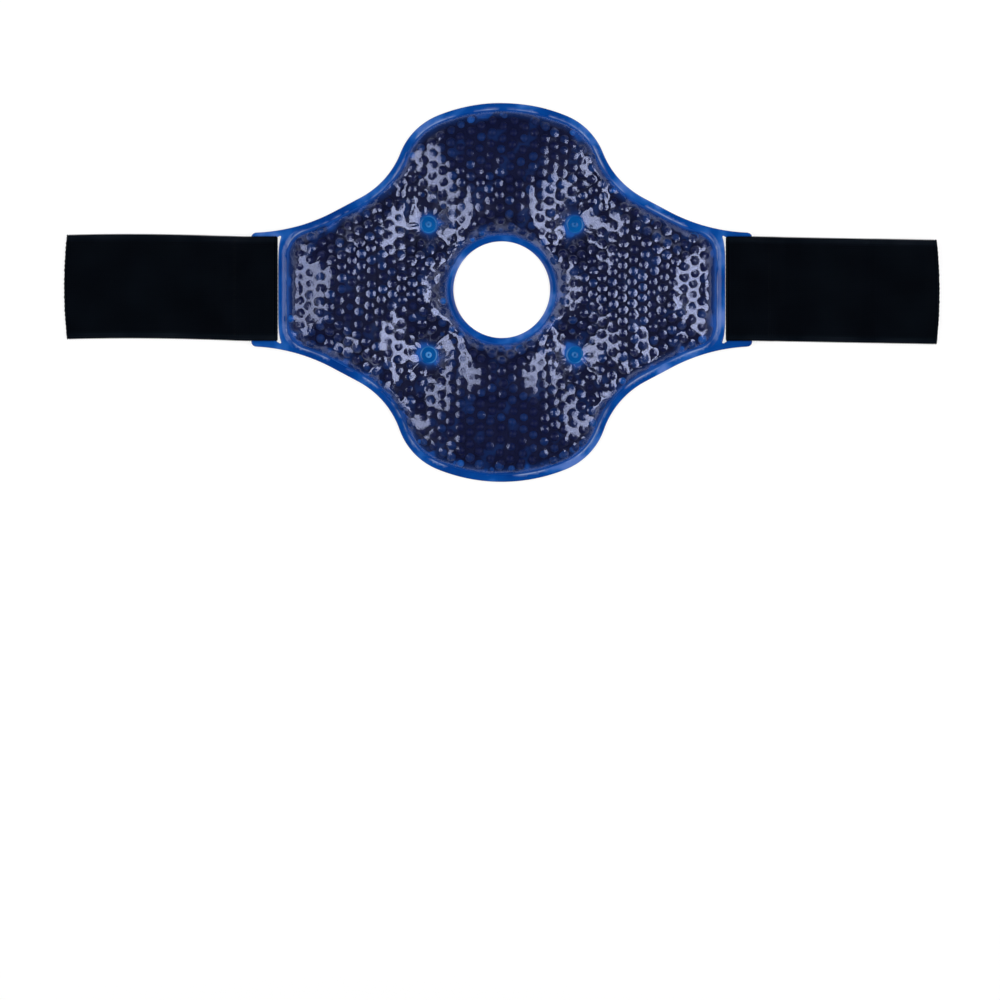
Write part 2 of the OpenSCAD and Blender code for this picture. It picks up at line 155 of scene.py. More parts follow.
def wholeEdge(inset, endX, corner, cornerInset, step):
    top = quarterEdge(pouch["topReach"], inset, endX, corner, cornerInset, 0.5)
    low = quarterEdge(pouch["bottomReach"], inset, endX, corner, cornerInset, 0.5)
    line = np.concatenate([top, (low * [1, -1])[::-1], low * [-1, -1], (top * [-1, 1])[::-1]])
    apart = np.linalg.norm(line - np.roll(line, 1, axis=0), axis=1) > 1e-6
    return evenly(line[apart], step)


def fillEdge(inset, step):
    width = pouch["rimWidth"]
    return wholeEdge(width + inset, pouch["fillReach"], pouch["fillCorner"], width, step)


def rimEdge(step):
    return wholeEdge(0.0, pouch["tabReach"], pouch["tabCorner"], 0.0, step)


def ringAt(center, radius, step):
    return arc(center, radius, 0, 360, step)[:-1]


def gapTo(points, line):
    # Distance of each point from a closed line
    start, stop = line, np.roll(line, -1, axis=0)
    run = stop - start
    best = np.empty(len(points))
    for k in range(0, len(points), 4000):
        away = points[k:k + 4000, None] - start
        share = np.clip((away * run).sum(2) / (run * run).sum(1), 0, 1)
        best[k:k + 4000] = np.linalg.norm(away - share[..., None] * run, axis=2).min(1)
    return best


def inside(points, line):
    # Even-odd test
    x, y = points[:, 0, None], points[:, 1, None]
    x0, y0 = line.T
    x1, y1 = np.roll(line, -1, axis=0).T
    across = (y0 > y) != (y1 > y)
    lift = np.where(y1 == y0, 1e-12, y1 - y0)
    return (across & (x < (x1 - x0) * (y - y0) / lift + x0)).sum(1) % 2 == 1


def within(points, lines):
    # Inside the first line and outside the others
    keep = inside(points, lines[0])
    for line in lines[1:]:
        keep &= ~inside(points, line)
    return keep


def crossLines(reach, uprights, levels):
    # Straight lines along the whole reach, at these x and these y
    lines = [np.column_stack([np.full_like(reach, x), reach]) for x in uprights]
    return lines + [np.column_stack([reach, np.full_like(reach, y)]) for y in levels]


def hexGrid(pitch, reachX, reachY):
    # Points in rows of even triangles
    rowStep = pitch * 0.866
    rowCount, colCount = math.ceil(reachY / rowStep), math.ceil(reachX / pitch) + 1
    rows, cols = range(-rowCount, rowCount + 1), range(-colCount, colCount + 1)
    return np.array([(c * pitch + (r % 2) * pitch / 2, r * pitch * 0.866) for r in rows for c in cols])


def triangulate(loose, lines, cuts=()):
    # Triangles over loose points and closed lines; cuts are open lines that stay edges
    points, edges = [loose], []
    first = len(loose)
    for line, closed in [(ln, True) for ln in lines] + [(ln, False) for ln in cuts]:
        n = len(line)
        edges += [(first + k, first + (k + 1) % n) for k in range(n if closed else n - 1)]
        points.append(line)
        first += n
    flat = [Vector(p) for p in np.concatenate(points)]
    made = delaunay_2d_cdt(flat, edges, [], 0, 1e-5)
    return np.array([tuple(v) for v in made[0]]), np.array([tuple(f) for f in made[2]])


def smoothstep(value, low, high):
    t = np.clip((np.asarray(value) - low) / (high - low), 0, 1)
    return t * t * (3 - 2 * t)


def ripple(points, seed, shortest, longest, count=11):
    # Soft random waves of about unit height
    rng = np.random.default_rng(seed)
    total = np.zeros(len(points))
    for _ in range(count):
        length, turn, phase = rng.uniform(shortest, longest), rng.uniform(0, 360), rng.uniform(0, math.tau)
        total += np.sin(math.tau * (points[:, :2] @ unit(turn)) / length + phase)
    return total / math.sqrt(count / 2)


def bodyOf(points):
    # 0 middle, 1 left wing, 2 right wing, 3 top lobe, 4 bottom lobe
    zone = np.zeros(len(points), int)
    zone[points[:, 1] > foldY] = 3
    zone[points[:, 1] < -foldY] = 4
    zone[points[:, 0] < -foldX] = 1
    zone[points[:, 0] > foldX] = 2
    return zone


bodies = ["pad_center", "left_wing", "right_wing", "top_lobe", "bottom_lobe"]
suffixes = ["center", *bodies[1:]]


# Mesh helpers
def vertexNormals(verts, faces):
    corners = verts[faces]
    normal = np.cross(corners[:, 1] - corners[:, 0], corners[:, 2] - corners[:, 0])
    if faces.shape[1] == 4:
        normal = np.cross(corners[:, 2] - corners[:, 0], corners[:, 3] - corners[:, 1])
    total = np.zeros_like(verts)
    for k in range(faces.shape[1]):
        np.add.at(total, faces[:, k], normal)
    return total / np.maximum(np.linalg.norm(total, axis=1), 1e-12)[:, None]


def makePiece(name, verts, faces, material, normals=None, marks=None):
    # verts in millimetres; marks are numbers kept on the points for the material
    mesh = bpy.data.meshes.new(name)
    corners = [list(map(int, f)) for f in faces]
    mesh.from_pydata((np.asarray(verts) * mm).tolist(), [], corners, shade_flat=False)
    mesh.validate()
    mesh.materials.append(material)
    for label, values in (marks or {}).items():
        mesh.attributes.new(label, "FLOAT", "POINT").data.foreach_set("value", np.asarray(values, np.float32))
    if normals is not None:
        mesh.normals_split_custom_set_from_vertices(np.asarray(normals).tolist())
    piece = bpy.data.objects.new(name, mesh)
    bpy.context.scene.collection.objects.link(piece)
    return piece


def cutOut(verts, faces, keep):
    # The kept faces with only the points they use
    part = [f for f, k in zip(faces, keep) if k]
    used = np.unique(np.concatenate([np.asarray(f) for f in part]))
    new = np.full(len(verts), -1)
    new[used] = np.arange(len(used))
    return used, [[int(new[i]) for i in f] for f in part]


def evaluated(piece, name):
    # What the modifiers make, as a plain mesh of its own
    graph = bpy.context.evaluated_depsgraph_get()
    mesh = bpy.data.meshes.new_from_object(piece.evaluated_get(graph))
    mesh.name = name
    return mesh


def meshArrays(mesh):
    verts = np.empty(len(mesh.vertices) * 3)
    mesh.vertices.foreach_get("co", verts)
    return verts.reshape(-1, 3), [tuple(p.vertices) for p in mesh.polygons]


def openEdges(faces):
    # Edges that belong to one face, in that face's direction
    seen = {}
    for n, f in enumerate(faces):
        for a, b in zip(f, f[1:] + f[:1]):
            if seen.pop((b, a), None) is None:
                seen[(a, b)] = n
    return seen


def closeUp(top, low, faces):
    # Both sides of a sheet and the walls along its open edges, with the face that each wall belongs to
    count = len(top)
    faces = [tuple(f) for f in faces]
    rims = openEdges(faces)
    under = [tuple(i + count for i in reversed(f)) for f in faces]
    walls = [(b, a, a + count, b + count) for a, b in rims]
    return np.concatenate([top, low]), faces + under + walls, list(rims.values())


def nearest(points, sites):
    # Distance to the nearest site seen from above, and which one it is
    tree = kdtree.KDTree(len(sites))
    for n, site in enumerate(sites):
        tree.insert((site[0], site[1], 0), n)
    tree.balance()
    found = [tree.find((x, y, 0)) for x, y in points[:, :2]]
    return np.array([hit[2] for hit in found]), [hit[1] for hit in found]


def plateOf(loose, lines, cuts):
    # Triangles inside the first line and outside the others, with edges along the cuts
    points, faces = triangulate(loose, lines, [cut[[0, -1]] for cut in cuts])
    used, faces = cutOut(points, faces, within(points[faces].mean(1), lines))
    return points[used], faces


def settle(piece, body, node):
    # A piece that moves with one body
    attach(piece, body)
    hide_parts(node)


def dress(piece, zone, node):
    # A piece of the pouch's middle moves with its body; the other pieces only get their transform baked in
    if zone == 0:
        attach(piece, bodies[0])
    else:
        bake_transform(piece)
    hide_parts(node)


def cutPieces(prefix, verts, faces, zones, material, normals, mark, node):
    # One piece for each part of the pouch; mark is a name and a number for each point
    pieces = []
    for zone, suffix in enumerate(suffixes):
        used, part = cutOut(verts, faces, zones == zone)
        marks = {mark[0]: mark[1][used]}
        pieces.append(makePiece(prefix + suffix, verts[used], part, material, normals[used], marks))
        dress(pieces[-1], zone, node + suffix)
    return pieces


# Node helpers
def feed(socket, value):
    # Links an output to a socket, or sets the socket's own value
    if hasattr(value, "is_output"):
        socket.id_data.links.new(value, socket)
    else:
        socket.default_value = value


def nodeMaker(tree):
    # add() makes a node, sets its properties and feeds its inputs
    def add(kind, **values):
        node = tree.nodes.new(kind if "Node" in kind else "ShaderNode" + kind)
        for key, value in values.items():
            if key in node.bl_rna.properties and not hasattr(value, "is_output"):
                setattr(node, key, value)
            else:
                feed(node.inputs[key.replace("_", " ")], value)
        return node

    return add


def newMaterial(name):
    mat = bpy.data.materials.new(name)
    mat.use_nodes = True
    mat.node_tree.nodes.clear()
    add = nodeMaker(mat.node_tree)
    return mat, add, add("TexCoord").outputs["Object"]


def mathOf(add, kind, *values):
    node = add("Math", operation=kind)
    for socket, value in zip(node.inputs, values):
        feed(socket, value)
    return node.outputs[0]


def mixOf(add, share, first, second):
    # The second surface over the first by its share
    mix = add("MixShader", Fac=share)
    for socket, surface in zip(mix.inputs[1:], (first, second)):
        feed(socket, surface.outputs[0])
    return mix.outputs[0]


def rampOf(add, fac, stops):
    ramp = add("ValToRGB", Fac=fac)
    while len(ramp.color_ramp.elements) < len(stops):
        ramp.color_ramp.elements.new(0.5)
    for element, (at, color) in zip(ramp.color_ramp.elements, stops):
        element.position = at
        element.color = (*color, 1)
    return ramp.outputs["Color"]


def rangeOf(add, value, **ends):
    return add("MapRange", Value=value, **ends).outputs["Result"]


def noiseOf(add, place, scale, detail):
    return add("TexNoise", Vector=place, Scale=scale, Detail=detail).outputs["Fac"]


def dented(add, height, strength, distance, **looks):
    # A solid surface with fine dents
    dent = add("Bump", Height=height, Strength=strength, Distance=distance).outputs["Normal"]
    add("OutputMaterial", Surface=add("BsdfPrincipled", Normal=dent, **looks).outputs[0])


def filmMaterial(name, headOn, roughLow, roughHigh):
    # Clear film: mirrors a little head on and more at a slant, and lets the rest through
    mat, add, place = newMaterial(name)
    rough = rangeOf(add, noiseOf(add, place, 90.0, 3.0), To_Min=roughLow, To_Max=roughHigh)
    steep = mathOf(add, "POWER", add("LayerWeight", Blend=0.5).outputs["Facing"], 5.0)
    wet = add("Attribute", attribute_name="contact").outputs["Fac"]
    share = rangeOf(add, steep, To_Min=rangeOf(add, wet, To_Min=headOn, To_Max=headOn * 0.4), To_Max=0.4)
    clear = add("BsdfTransparent", Color=(0.965, 0.975, 1.0, 1))
    shine = add("BsdfGlossy", Color=(0.60, 0.67, 1.0, 1), Roughness=rough)
    add("OutputMaterial", Surface=mixOf(add, share, clear, shine))
    return mat


def gelMaterial(name, thin, thick, rough):
    # Blue gel: deep navy where it is thick, and painted brighter blue where light would come through thin gel,
    # as the surface lets no light through
    mat, add, place = newMaterial(name)
    depth = add("Attribute", attribute_name="depth").outputs["Fac"]
    spread = rangeOf(add, noiseOf(add, place, 120.0, 2.0), To_Min=-0.12, To_Max=0.12)
    middle = tuple(a * 0.3 + b * 0.7 for a, b in zip(thin, thick))
    color = rampOf(add, mathOf(add, "ADD", depth, spread), [(0.02, thin), (0.25, middle), (0.8, thick)])
    dented(add, noiseOf(add, place, 900.0, 1.0), 0.1, 0.0003,
           Base_Color=color, Roughness=rough, Specular_IOR_Level=0.12)
    return mat


def weldMaterial(name, stops, pale):
    # Fused film: cobalt blue, glossy, with faint press marks, and a painted highlight: paler along raised
    # ridges, in broken stretches
    mat, add, place = newMaterial(name)
    cloud = add("TexNoise", Vector=place, Scale=26.0, Detail=3.0, Roughness=0.6).outputs["Fac"]
    streak = rangeOf(add, noiseOf(add, place, 70.0, 2.0), From_Min=0.44, From_Max=0.62)
    stretched = add("Attribute", attribute_name="stretch").outputs["Fac"]
    highlighted = add("Mix", data_type="RGBA", Factor=mathOf(add, "MULTIPLY", stretched, streak))
    feed(highlighted.inputs[6], rampOf(add, cloud, stops))
    feed(highlighted.inputs[7], (*pale, 1))
    rough = rangeOf(add, noiseOf(add, place, 220.0, 3.0), To_Min=0.10, To_Max=0.26)
    dented(add, noiseOf(add, place, 500.0, 2.0), 0.12, 0.0004, Base_Color=highlighted.outputs[2], Roughness=rough,
           Specular_IOR_Level=0.25, Coat_Weight=0.15, Coat_Roughness=0.06)
    return mat


def elasticMaterial():
    # Woven elastic: near black with a cold tint, a grid of dark holes between two plain selvedges, and a
    # painted highlight that makes the raised yarns lighter
    mat, add, place = newMaterial("wovenElastic")
    lift = add("Attribute", attribute_name="lift").outputs["Fac"]
    weave = add("UVMap", uv_map="weave").outputs["UV"]
    split = add("SeparateXYZ", Vector=weave)
    rows = []
    for axis in ("X", "Y"):
        turn = mathOf(add, "MULTIPLY", split.outputs[axis], math.tau / (weavePitch * mm))
        rows.append(rangeOf(add, mathOf(add, "COSINE", turn), From_Min=-1.0))
    away = mathOf(add, "ABSOLUTE", split.outputs["Y"])
    plain = rangeOf(
        add, away, interpolation_type="SMOOTHSTEP", From_Min=26.2 * mm, From_Max=26.9 * mm, To_Max=0.55)
    solid = mathOf(add, "MAXIMUM", mathOf(add, "MULTIPLY", *rows), plain)
    blotch = rangeOf(add, noiseOf(add, place, 45.0, 3.0), To_Min=-0.2, To_Max=0.2)
    # Painted highlight: the raised yarns are painted lighter by their height
    raised = mathOf(add, "MULTIPLY_ADD", lift, 0.25, mathOf(add, "MULTIPLY", solid, 0.75))
    stops = [(0.1, (0.0001, 0.0003, 0.001)), (0.45, (0.0007, 0.002, 0.0042)), (0.85, (0.010, 0.0135, 0.020))]
    color = rampOf(add, mathOf(add, "ADD", raised, blotch), stops)
    yarn = add("TexWave", Vector=weave, bands_direction="DIAGONAL", Scale=900.0, Distortion=1.5).outputs["Fac"]
    fuzz = mathOf(add, "MULTIPLY", yarn, noiseOf(add, place, 2500.0, 2.0))
    dented(add, fuzz, 0.5, 0.0002, Base_Color=color, Roughness=0.8,
           Specular_IOR_Level=0.012, Sheen_Weight=0.002, Sheen_Roughness=0.5)
    return mat


def plainMaterial(name, low, high, rough, scale, shine):
    mat, add, place = newMaterial(name)
    cloud = noiseOf(add, place, scale, 4.0)
    color = rampOf(add, cloud, [(0.3, low), (0.7, high)])
    dented(add, cloud, 0.3, 0.0002, Base_Color=color, Roughness=rough, Specular_IOR_Level=shine)
    return mat


weavePitch = 1.3  # of the straps' elastic, both ways
clearFilm = filmMaterial("clearFilm", 0.092, 0.11, 0.2)
backFilm = filmMaterial("backFilm", 0.03, 0.12, 0.24)
# Each gel's first colour is its painted through-light blue, the second its deep navy
gelBead = gelMaterial("gelBead", (0.008, 0.10, 0.42), (0.004, 0.008, 0.056), 0.4)
gelMass = gelMaterial("gelMass", (0.006, 0.08, 0.36), (0.002, 0.004, 0.034), 0.5)
rimStops = [
    (0.38, (0.0005, 0.040, 0.24)),
    (0.52, (0.001, 0.065, 0.33)),
    (0.57, (0.015, 0.11, 0.43)),
    (0.64, (0.09, 0.19, 0.55)),
]
spotStops = [(0.4, (0.0005, 0.06, 0.26)), (0.6, (0.001, 0.10, 0.36))]
# The third value of each weld colour is the colour of its painted highlight
weldBlue = weldMaterial("weldBlue", rimStops, (0.30, 0.40, 0.66))
spotBlue = weldMaterial("spotBlue", spotStops, (0.06, 0.28, 0.66))
wovenElastic = elasticMaterial()
threadShades = (0.0008, 0.0012, 0.002), (0.004, 0.005, 0.007)
sewingThread = plainMaterial("sewingThread", *threadShades, 0.6, 1500.0, 0.03)
hookTape = plainMaterial("hookTape", (0.004, 0.004, 0.005), (0.012, 0.012, 0.014), 0.5, 800.0, 0.3)
print("materials made")

# Front film: one sheet over the whole pouch, welded at the rim, the ring and the four spots
film = dict(
    pitch=2.9,        # points of the sheet before it is refined
    tuck=0.5,         # how far the sheet runs into the welds
    clear=1.2,        # first points of the sheet beside the rim and the ring
    spotClear=1.4,
    fillHeight=9.6,
    edgeRun=34.0,
    ringRun=18.0,
    spotSlope=0.42,
    thick=0.35,
    slack=0.03,       # spare length of the sheet
    pressure=3.0,
    simFrames=24,
    mostMove=2.2,
    swell=0.34,       # soft waves over the whole sheet
    bumpHeight=0.74,  # a bead pushes the film up this much
    bumpRadius=3.2,
    contactRadius=1.9,  # the film lies wet on the bead this far out
    pleats=8,
    pleatDepth=0.6,
    hold=((0.6, 3.6), (0.6, 4.0), (2.5, 8.0)),  # no beads show this near the rim, the ring and the spots
)
fillLine = fillEdge(0.0, 1.0)
spotCenters = np.array(pouch["spots"])


def weldGaps(points):
    # Distances from the rim weld, the ring weld and the nearest spot weld
    flat = points[:, :2]
    rimGap = gapTo(flat, fillLine) * np.where(inside(flat, fillLine), 1, -1)
    ringGap = np.linalg.norm(flat, axis=1) - pouch["ringRadius"]
    spotGap = np.linalg.norm(flat[:, None] - spotCenters, axis=2).min(1) - pouch["spotRadius"]
    return rimGap, ringGap, spotGap


def holdAt(gaps, ramps):
    # 0 beside the welds and 1 further in
    return np.prod([smoothstep(gap, *ramp) for gap, ramp in zip(gaps, ramps)], axis=0)


def crownHeight(points):
    rimGap, ringGap, spotGap = weldGaps(points)
    roundRise = lambda gap, run: np.sqrt(1 - (1 - np.clip(gap / run, 0, 1)) ** 2)
    rise = roundRise(rimGap, film["edgeRun"]) * roundRise(ringGap, film["ringRun"])
    cone = np.clip(spotGap, 0, None) * film["spotSlope"] / film["fillHeight"]
    return film["fillHeight"] * rise * cone / (1 + cone**4) ** 0.25


def filmSheet():
    tuck, pitch, clear = film["tuck"], film["pitch"], film["clear"]
    lines = [fillEdge(-tuck, pitch * 0.8), ringAt((0, 0), pouch["ringRadius"] - tuck, pitch * 0.8)]
    lines += [ringAt(c, pouch["spotRadius"] - tuck, pitch * 0.7) for c in spotCenters]
    inner = [fillEdge(clear, pitch * 0.9), ringAt((0, 0), pouch["ringRadius"] + clear, pitch * 0.9)]
    inner += [ringAt(c, pouch["spotRadius"] + film["spotClear"], pitch * 0.7) for c in spotCenters]
    loose = hexGrid(pitch, 130, 115)
    loose = loose[np.minimum.reduce(weldGaps(loose)) > clear + pitch * 0.55]
    foldLines = crossLines(np.arange(-130, 130.1, pitch * 0.95), (-foldX, foldX), (-foldY, foldY))
    nearFold = np.minimum(abs(abs(loose[:, 0]) - foldX), abs(abs(loose[:, 1]) - foldY))
    loose = loose[nearFold > pitch * 0.5]
    onFold = [line[weldGaps(line)[0] > clear + pitch * 0.4] for line in foldLines]
    points, faces = plateOf(np.concatenate([loose, *inner, *onFold]), lines, foldLines)
    step = 0.55 + 0.4 * smoothstep(np.minimum.reduce(weldGaps(points)), -0.5, 0.5)  # out of the weld's middle
    return np.column_stack([points, step + crownHeight(points)]), faces


def relaxFilm(piece, pinned):
    # The filled sheet with spare length settles under the filling's pressure
    group = piece.vertex_groups.new(name="welds")
    group.add([int(i) for i in pinned], 1.0, "ADD")
    rest = meshArrays(piece.data)[0]
    cloth = piece.modifiers.new("slack", "CLOTH")
    wanted = dict(
        quality=8, mass=0.1, tension_stiffness=25, compression_stiffness=25, shear_stiffness=12,
        bending_stiffness=0.4, tension_damping=8, air_damping=2, shrink_min=-film["slack"],
        use_pressure=True, uniform_pressure_force=film["pressure"], vertex_group_mass="welds",
    )
    for label, value in wanted.items():
        setattr(cloth.settings, label, value)
    cloth.settings.effector_weights.gravity = 0
    cloth.collision_settings.use_collision = False
    cloth.collision_settings.use_self_collision = False
    cloth.point_cache.frame_end = film["simFrames"] + 1
    scene = bpy.context.scene
    for step in range(1, film["simFrames"] + 1):
        scene.frame_set(step)
    shift = meshArrays(evaluated(piece, "settled"))[0] - rest
    scene.frame_set(1)
    piece.modifiers.remove(cloth)
    length = np.linalg.norm(shift, axis=1)
    limit = film["mostMove"] * mm
    share = np.where(length > limit, limit / np.maximum(length, 1e-12), 1) * tightAt(rest / mm)
    piece.data.vertices.foreach_set("co", (rest + shift * share[:, None]).ravel())
    piece.data.update()
    print("film settled, largest move", round(length.max() / mm, 2), "mm, mean", round(length.mean() / mm, 2))


def refine(piece, levels):
    smooth = piece.modifiers.new("refine", "SUBSURF")
    smooth.levels = levels
    smooth.render_levels = levels
    mesh = evaluated(piece, "refined")
    verts, faces = meshArrays(mesh)
    piece.modifiers.remove(smooth)
    return verts / mm, faces


# Beads: a loose layer under each film, packed like balls on a tray
beads = dict(
    pitch=6.7,
    radius=3.05,
    least=0.9,        # smaller ones are left out
    skin=0.08,        # between a bead and its film
    weldClear=2.3,
    spotClear=2.6,
    jitter=0.26,
    warp=0.7,
    seed=11,
    segments=8,
    rings=6,
)


def beadSites(seed):
    # Rows run from shin to thigh
    rng = np.random.default_rng(seed)
    sites = hexGrid(beads["pitch"], 114, 128)[:, ::-1]
    waves = [ripple(sites, seed + n, 60, 110, 5) for n in range(2)]
    sites = sites + beads["warp"] * np.column_stack(waves)
    sites += rng.normal(0, beads["jitter"], sites.shape)
    rimGap, ringGap, spotGap = weldGaps(sites)
    keep = (np.minimum(rimGap, ringGap) > beads["weldClear"]) & (spotGap > beads["spotClear"])
    return sites[keep], rng


frontSites, beadRng = beadSites(beads["seed"])
backSites, backRng = beadSites(beads["seed"] + 40)
print("bead sites", len(frontSites), len(backSites))


def beadBumps(points, sites, push):
    # Round caps over the beads, and how wet the film lies on them
    gap, which = nearest(points, sites)
    cap = np.cos(np.clip(gap / film["bumpRadius"], 0, 1) * math.pi / 2) ** 2 * push[which]
    return cap, 1 - smoothstep(gap, film["contactRadius"] - 0.5, film["contactRadius"] + 0.5)


def pleatsAt(points):
    # Narrow gathers that run out from each spot weld
    total = np.zeros(len(points))
    rng = np.random.default_rng(5)
    for center in spotCenters:
        away = points[:, :2] - center
        gap = np.linalg.norm(away, axis=1) - pouch["spotRadius"]
        angle = np.arctan2(away[:, 1], away[:, 0])
        places = np.arange(film["pleats"]) + rng.uniform(-0.3, 0.3, film["pleats"])
        for turn in places * math.tau / film["pleats"]:
            length = rng.uniform(5, 12)
            off = abs(np.angle(np.exp(1j * (angle - turn)))) * (gap + pouch["spotRadius"])
            fade = smoothstep(gap, 0.2, 1.5) * (1 - smoothstep(gap, length * 0.5, length))
            total -= np.exp(-((off / (0.6 + 0.1 * np.clip(gap, 0, 20))) ** 2)) * fade
    angle = np.arctan2(points[:, 1], points[:, 0])
    gap = np.linalg.norm(points[:, :2], axis=1) - pouch["ringRadius"]
    ringFade = smoothstep(gap, 0.5, 3) * (1 - smoothstep(gap, 4, 12))
    ringWave = np.cos(11 * angle + 2.0 * np.sin(3 * angle)) * ringFade
    return film["pleatDepth"] * total + 0.2 * ringWave


def tightAt(points):
    # The two lobes are filled tight, so their film has little slack: less than 1 around their middles
    bulge = lambda y, wide, high: np.exp(-((points[:, 0] / wide) ** 2) - ((points[:, 1] - y) / high) ** 2)
    return 1 - 0.75 * bulge(-76, 44, 34) - 0.7 * bulge(82, 46, 32)


def layFilm(prefix, verts, faces, before, thick, contact, material, node):
    # The sheet with its thickness, closed at the welds and cut where the folds were before it was lifted
    normals = vertexNormals(verts, np.array(faces))
    shell, shellFaces, owners = closeUp(verts, verts - thick * normals, faces)
    normals = np.concatenate([normals, -normals])
    faceZone = bodyOf(before[np.array(faces)].mean(1))
    zones = np.concatenate([faceZone, faceZone, faceZone[owners]])
    mark = ("contact", np.concatenate([contact, contact]))
    return cutPieces(prefix, shell, shellFaces, zones, material, normals, mark, node)


sheetVerts, sheetFaces = filmSheet()
sheet = makePiece("film_sheet", sheetVerts, sheetFaces, clearFilm)
gaps = np.minimum.reduce(weldGaps(sheetVerts))
relaxFilm(sheet, np.where(gaps < 0.3)[0])
coarse = meshArrays(sheet.data)[0] / mm
fine, fineFaces = refine(sheet, 2)
print("film points", len(sheetVerts), "refined", len(fine))
fineGaps = weldGaps(fine)
rimGap, ringGap, _ = fineGaps
hold = holdAt(fineGaps, film["hold"])
rightSide = smoothstep(frontSites[:, 0], 25, 42)
frontPush = beadRng.uniform(0.75, 1.2, len(frontSites))
frontPush *= 0.95 + 0.25 * rightSide + (0.3 - 0.2 * rightSide) * ripple(frontSites, 77, 25, 60)
tight = tightAt(fine)
swell = film["swell"] * tight * ripple(fine, 23, 17, 42) * smoothstep(np.minimum(rimGap, ringGap), 1, 10)
bumps, contact = beadBumps(fine, frontSites, frontPush)
lift = film["bumpHeight"] * bumps * hold * tight + swell + pleatsAt(fine)
dryRing = 5 * smoothstep(fine[:, 0], 10, 26)  # right of the knee opening the film stands off the gel
wetEdge = 1 - smoothstep(np.minimum(rimGap, ringGap + dryRing), 2.0, 4.5)
wetParts = 1.4 * (1 - tight) + 0.55 * smoothstep(-fine[:, 0], 70, 105)  # the lobes and the left wing's end
contact = np.clip(np.maximum.reduce([contact * hold, wetEdge, wetParts]), 0, 1)
frontNormals = vertexNormals(fine, np.array(fineFaces))
front = fine + lift[:, None] * frontNormals
front[:, 2] = np.maximum(front[:, 2], 0.5)
parts = layFilm("film_", front, fineFaces, fine, film["thick"], contact, clearFilm, "front_film_")
print("front film made")

# Back film: lies on the table, dimpled by the beads above it
back = dict(rest=0.42, dimple=0.36, thick=0.3, hold=((0.8, 4.0), (0.8, 4.0), (1.0, 5.0)))
backFlat = sheetVerts.copy()
backFlat[:, 2] = back["rest"]
sheet.data.vertices.foreach_set("co", (backFlat * mm).ravel())
sheet.data.update()
backFine, backFaces = refine(sheet, 2)
bpy.data.objects.remove(sheet)
hold = holdAt(weldGaps(backFine), back["hold"])
backPush = backRng.uniform(0.7, 1.0, len(backSites))
bumps, contact = beadBumps(backFine, backSites, backPush)
backFine[:, 2] -= back["dimple"] * bumps * hold
contact *= hold
backFine[:, 2] += 0.05 * ripple(backFine, 31, 12, 30) * hold
backFine[:, 2] = np.maximum(backFine[:, 2], 0.02)
backFaces = [tuple(reversed(f)) for f in backFaces]
layFilm("back_", backFine, backFaces, backFine, back["thick"], contact, backFilm, "back_film_")
print("back film made")


# Node trees that put one shape on every point of a mesh
def sitesTree(name, kind, labels, shapeOf, smooth=False):
    tree = bpy.data.node_groups.new(name, "GeometryNodeTree")
    inputs = [("Sites", "Geometry"), *((label, kind) for label in labels), ("Material", "Material")]
    for label, sort in inputs:
        tree.interface.new_socket(label, in_out="INPUT", socket_type="NodeSocket" + sort)
    tree.interface.new_socket("Pieces", in_out="OUTPUT", socket_type="NodeSocketGeometry")
    add = nodeMaker(tree)
    given = add("NodeGroupInput").outputs
    made = add("GeometryNodeInstanceOnPoints", Points=given["Sites"], **shapeOf(add, given))
    made = add("GeometryNodeRealizeInstances", Geometry=made.outputs["Instances"])
    if smooth:
        made = add("GeometryNodeSetShadeSmooth", Geometry=made.outputs["Geometry"])
    paint = add("GeometryNodeSetMaterial", Geometry=made.outputs["Geometry"], Material=given["Material"])
    add("NodeGroupOutput", Pieces=paint.outputs["Geometry"])
    return tree


def beadShape(add, given):
    ball = add("GeometryNodeMeshUVSphere", Radius=1.0, Segments=given["Segments"], Rings=given["Rings"])
    turn = add("FunctionNodeRandomValue", data_type="FLOAT_VECTOR", Max=(math.tau,) * 3, Seed=given["Seed"])
    size = add("GeometryNodeInputNamedAttribute", data_type="FLOAT", Name="size")
    return dict(Instance=ball.outputs["Mesh"], Rotation=turn.outputs[0], Scale=size.outputs["Attribute"])


def wireShape(add, radius, sides, **bow):
    # A thin round wire along a bow of three points
    section = add("GeometryNodeCurvePrimitiveCircle", Resolution=sides, Radius=radius).outputs["Curve"]
    curve = add("GeometryNodeCurveQuadraticBezier", **bow).outputs["Curve"]
    swept = add("GeometryNodeCurveToMesh", Fill_Caps=True, Curve=curve, Profile_Curve=section)
    return dict(Instance=swept.outputs["Mesh"])


def stitchShape(add, given):
    half = mathOf(add, "MULTIPLY", given["Length"], 0.5)
    minus = mathOf(add, "MULTIPLY", half, -1.0)
    drop = mathOf(add, "MULTIPLY", given["Sag"], -2.0)
    start, end = [add("CombineXYZ", Y=way, Z=drop).outputs[0] for way in (minus, half)]
    crest = add("CombineXYZ", Z=given["Sag"]).outputs[0]
    return wireShape(add, given["Thread"], 6, Resolution=8, Start=start, Middle=crest, End=end)


def hookShape(add, given):
    down = mathOf(add, "MULTIPLY", given["Height"], -2.0)
    back = mathOf(add, "MULTIPLY", given["Height"], -0.35)
    wide = mathOf(add, "MULTIPLY", given["Lean"], 2.2)
    bottom = add("CombineXYZ", X=given["Lean"], Z=down).outputs[0]
    tip = add("CombineXYZ", X=wide, Z=back).outputs[0]
    return wireShape(add, given["Wire"], 4, Resolution=6, Start=(0, 0, 0), Middle=bottom, End=tip)


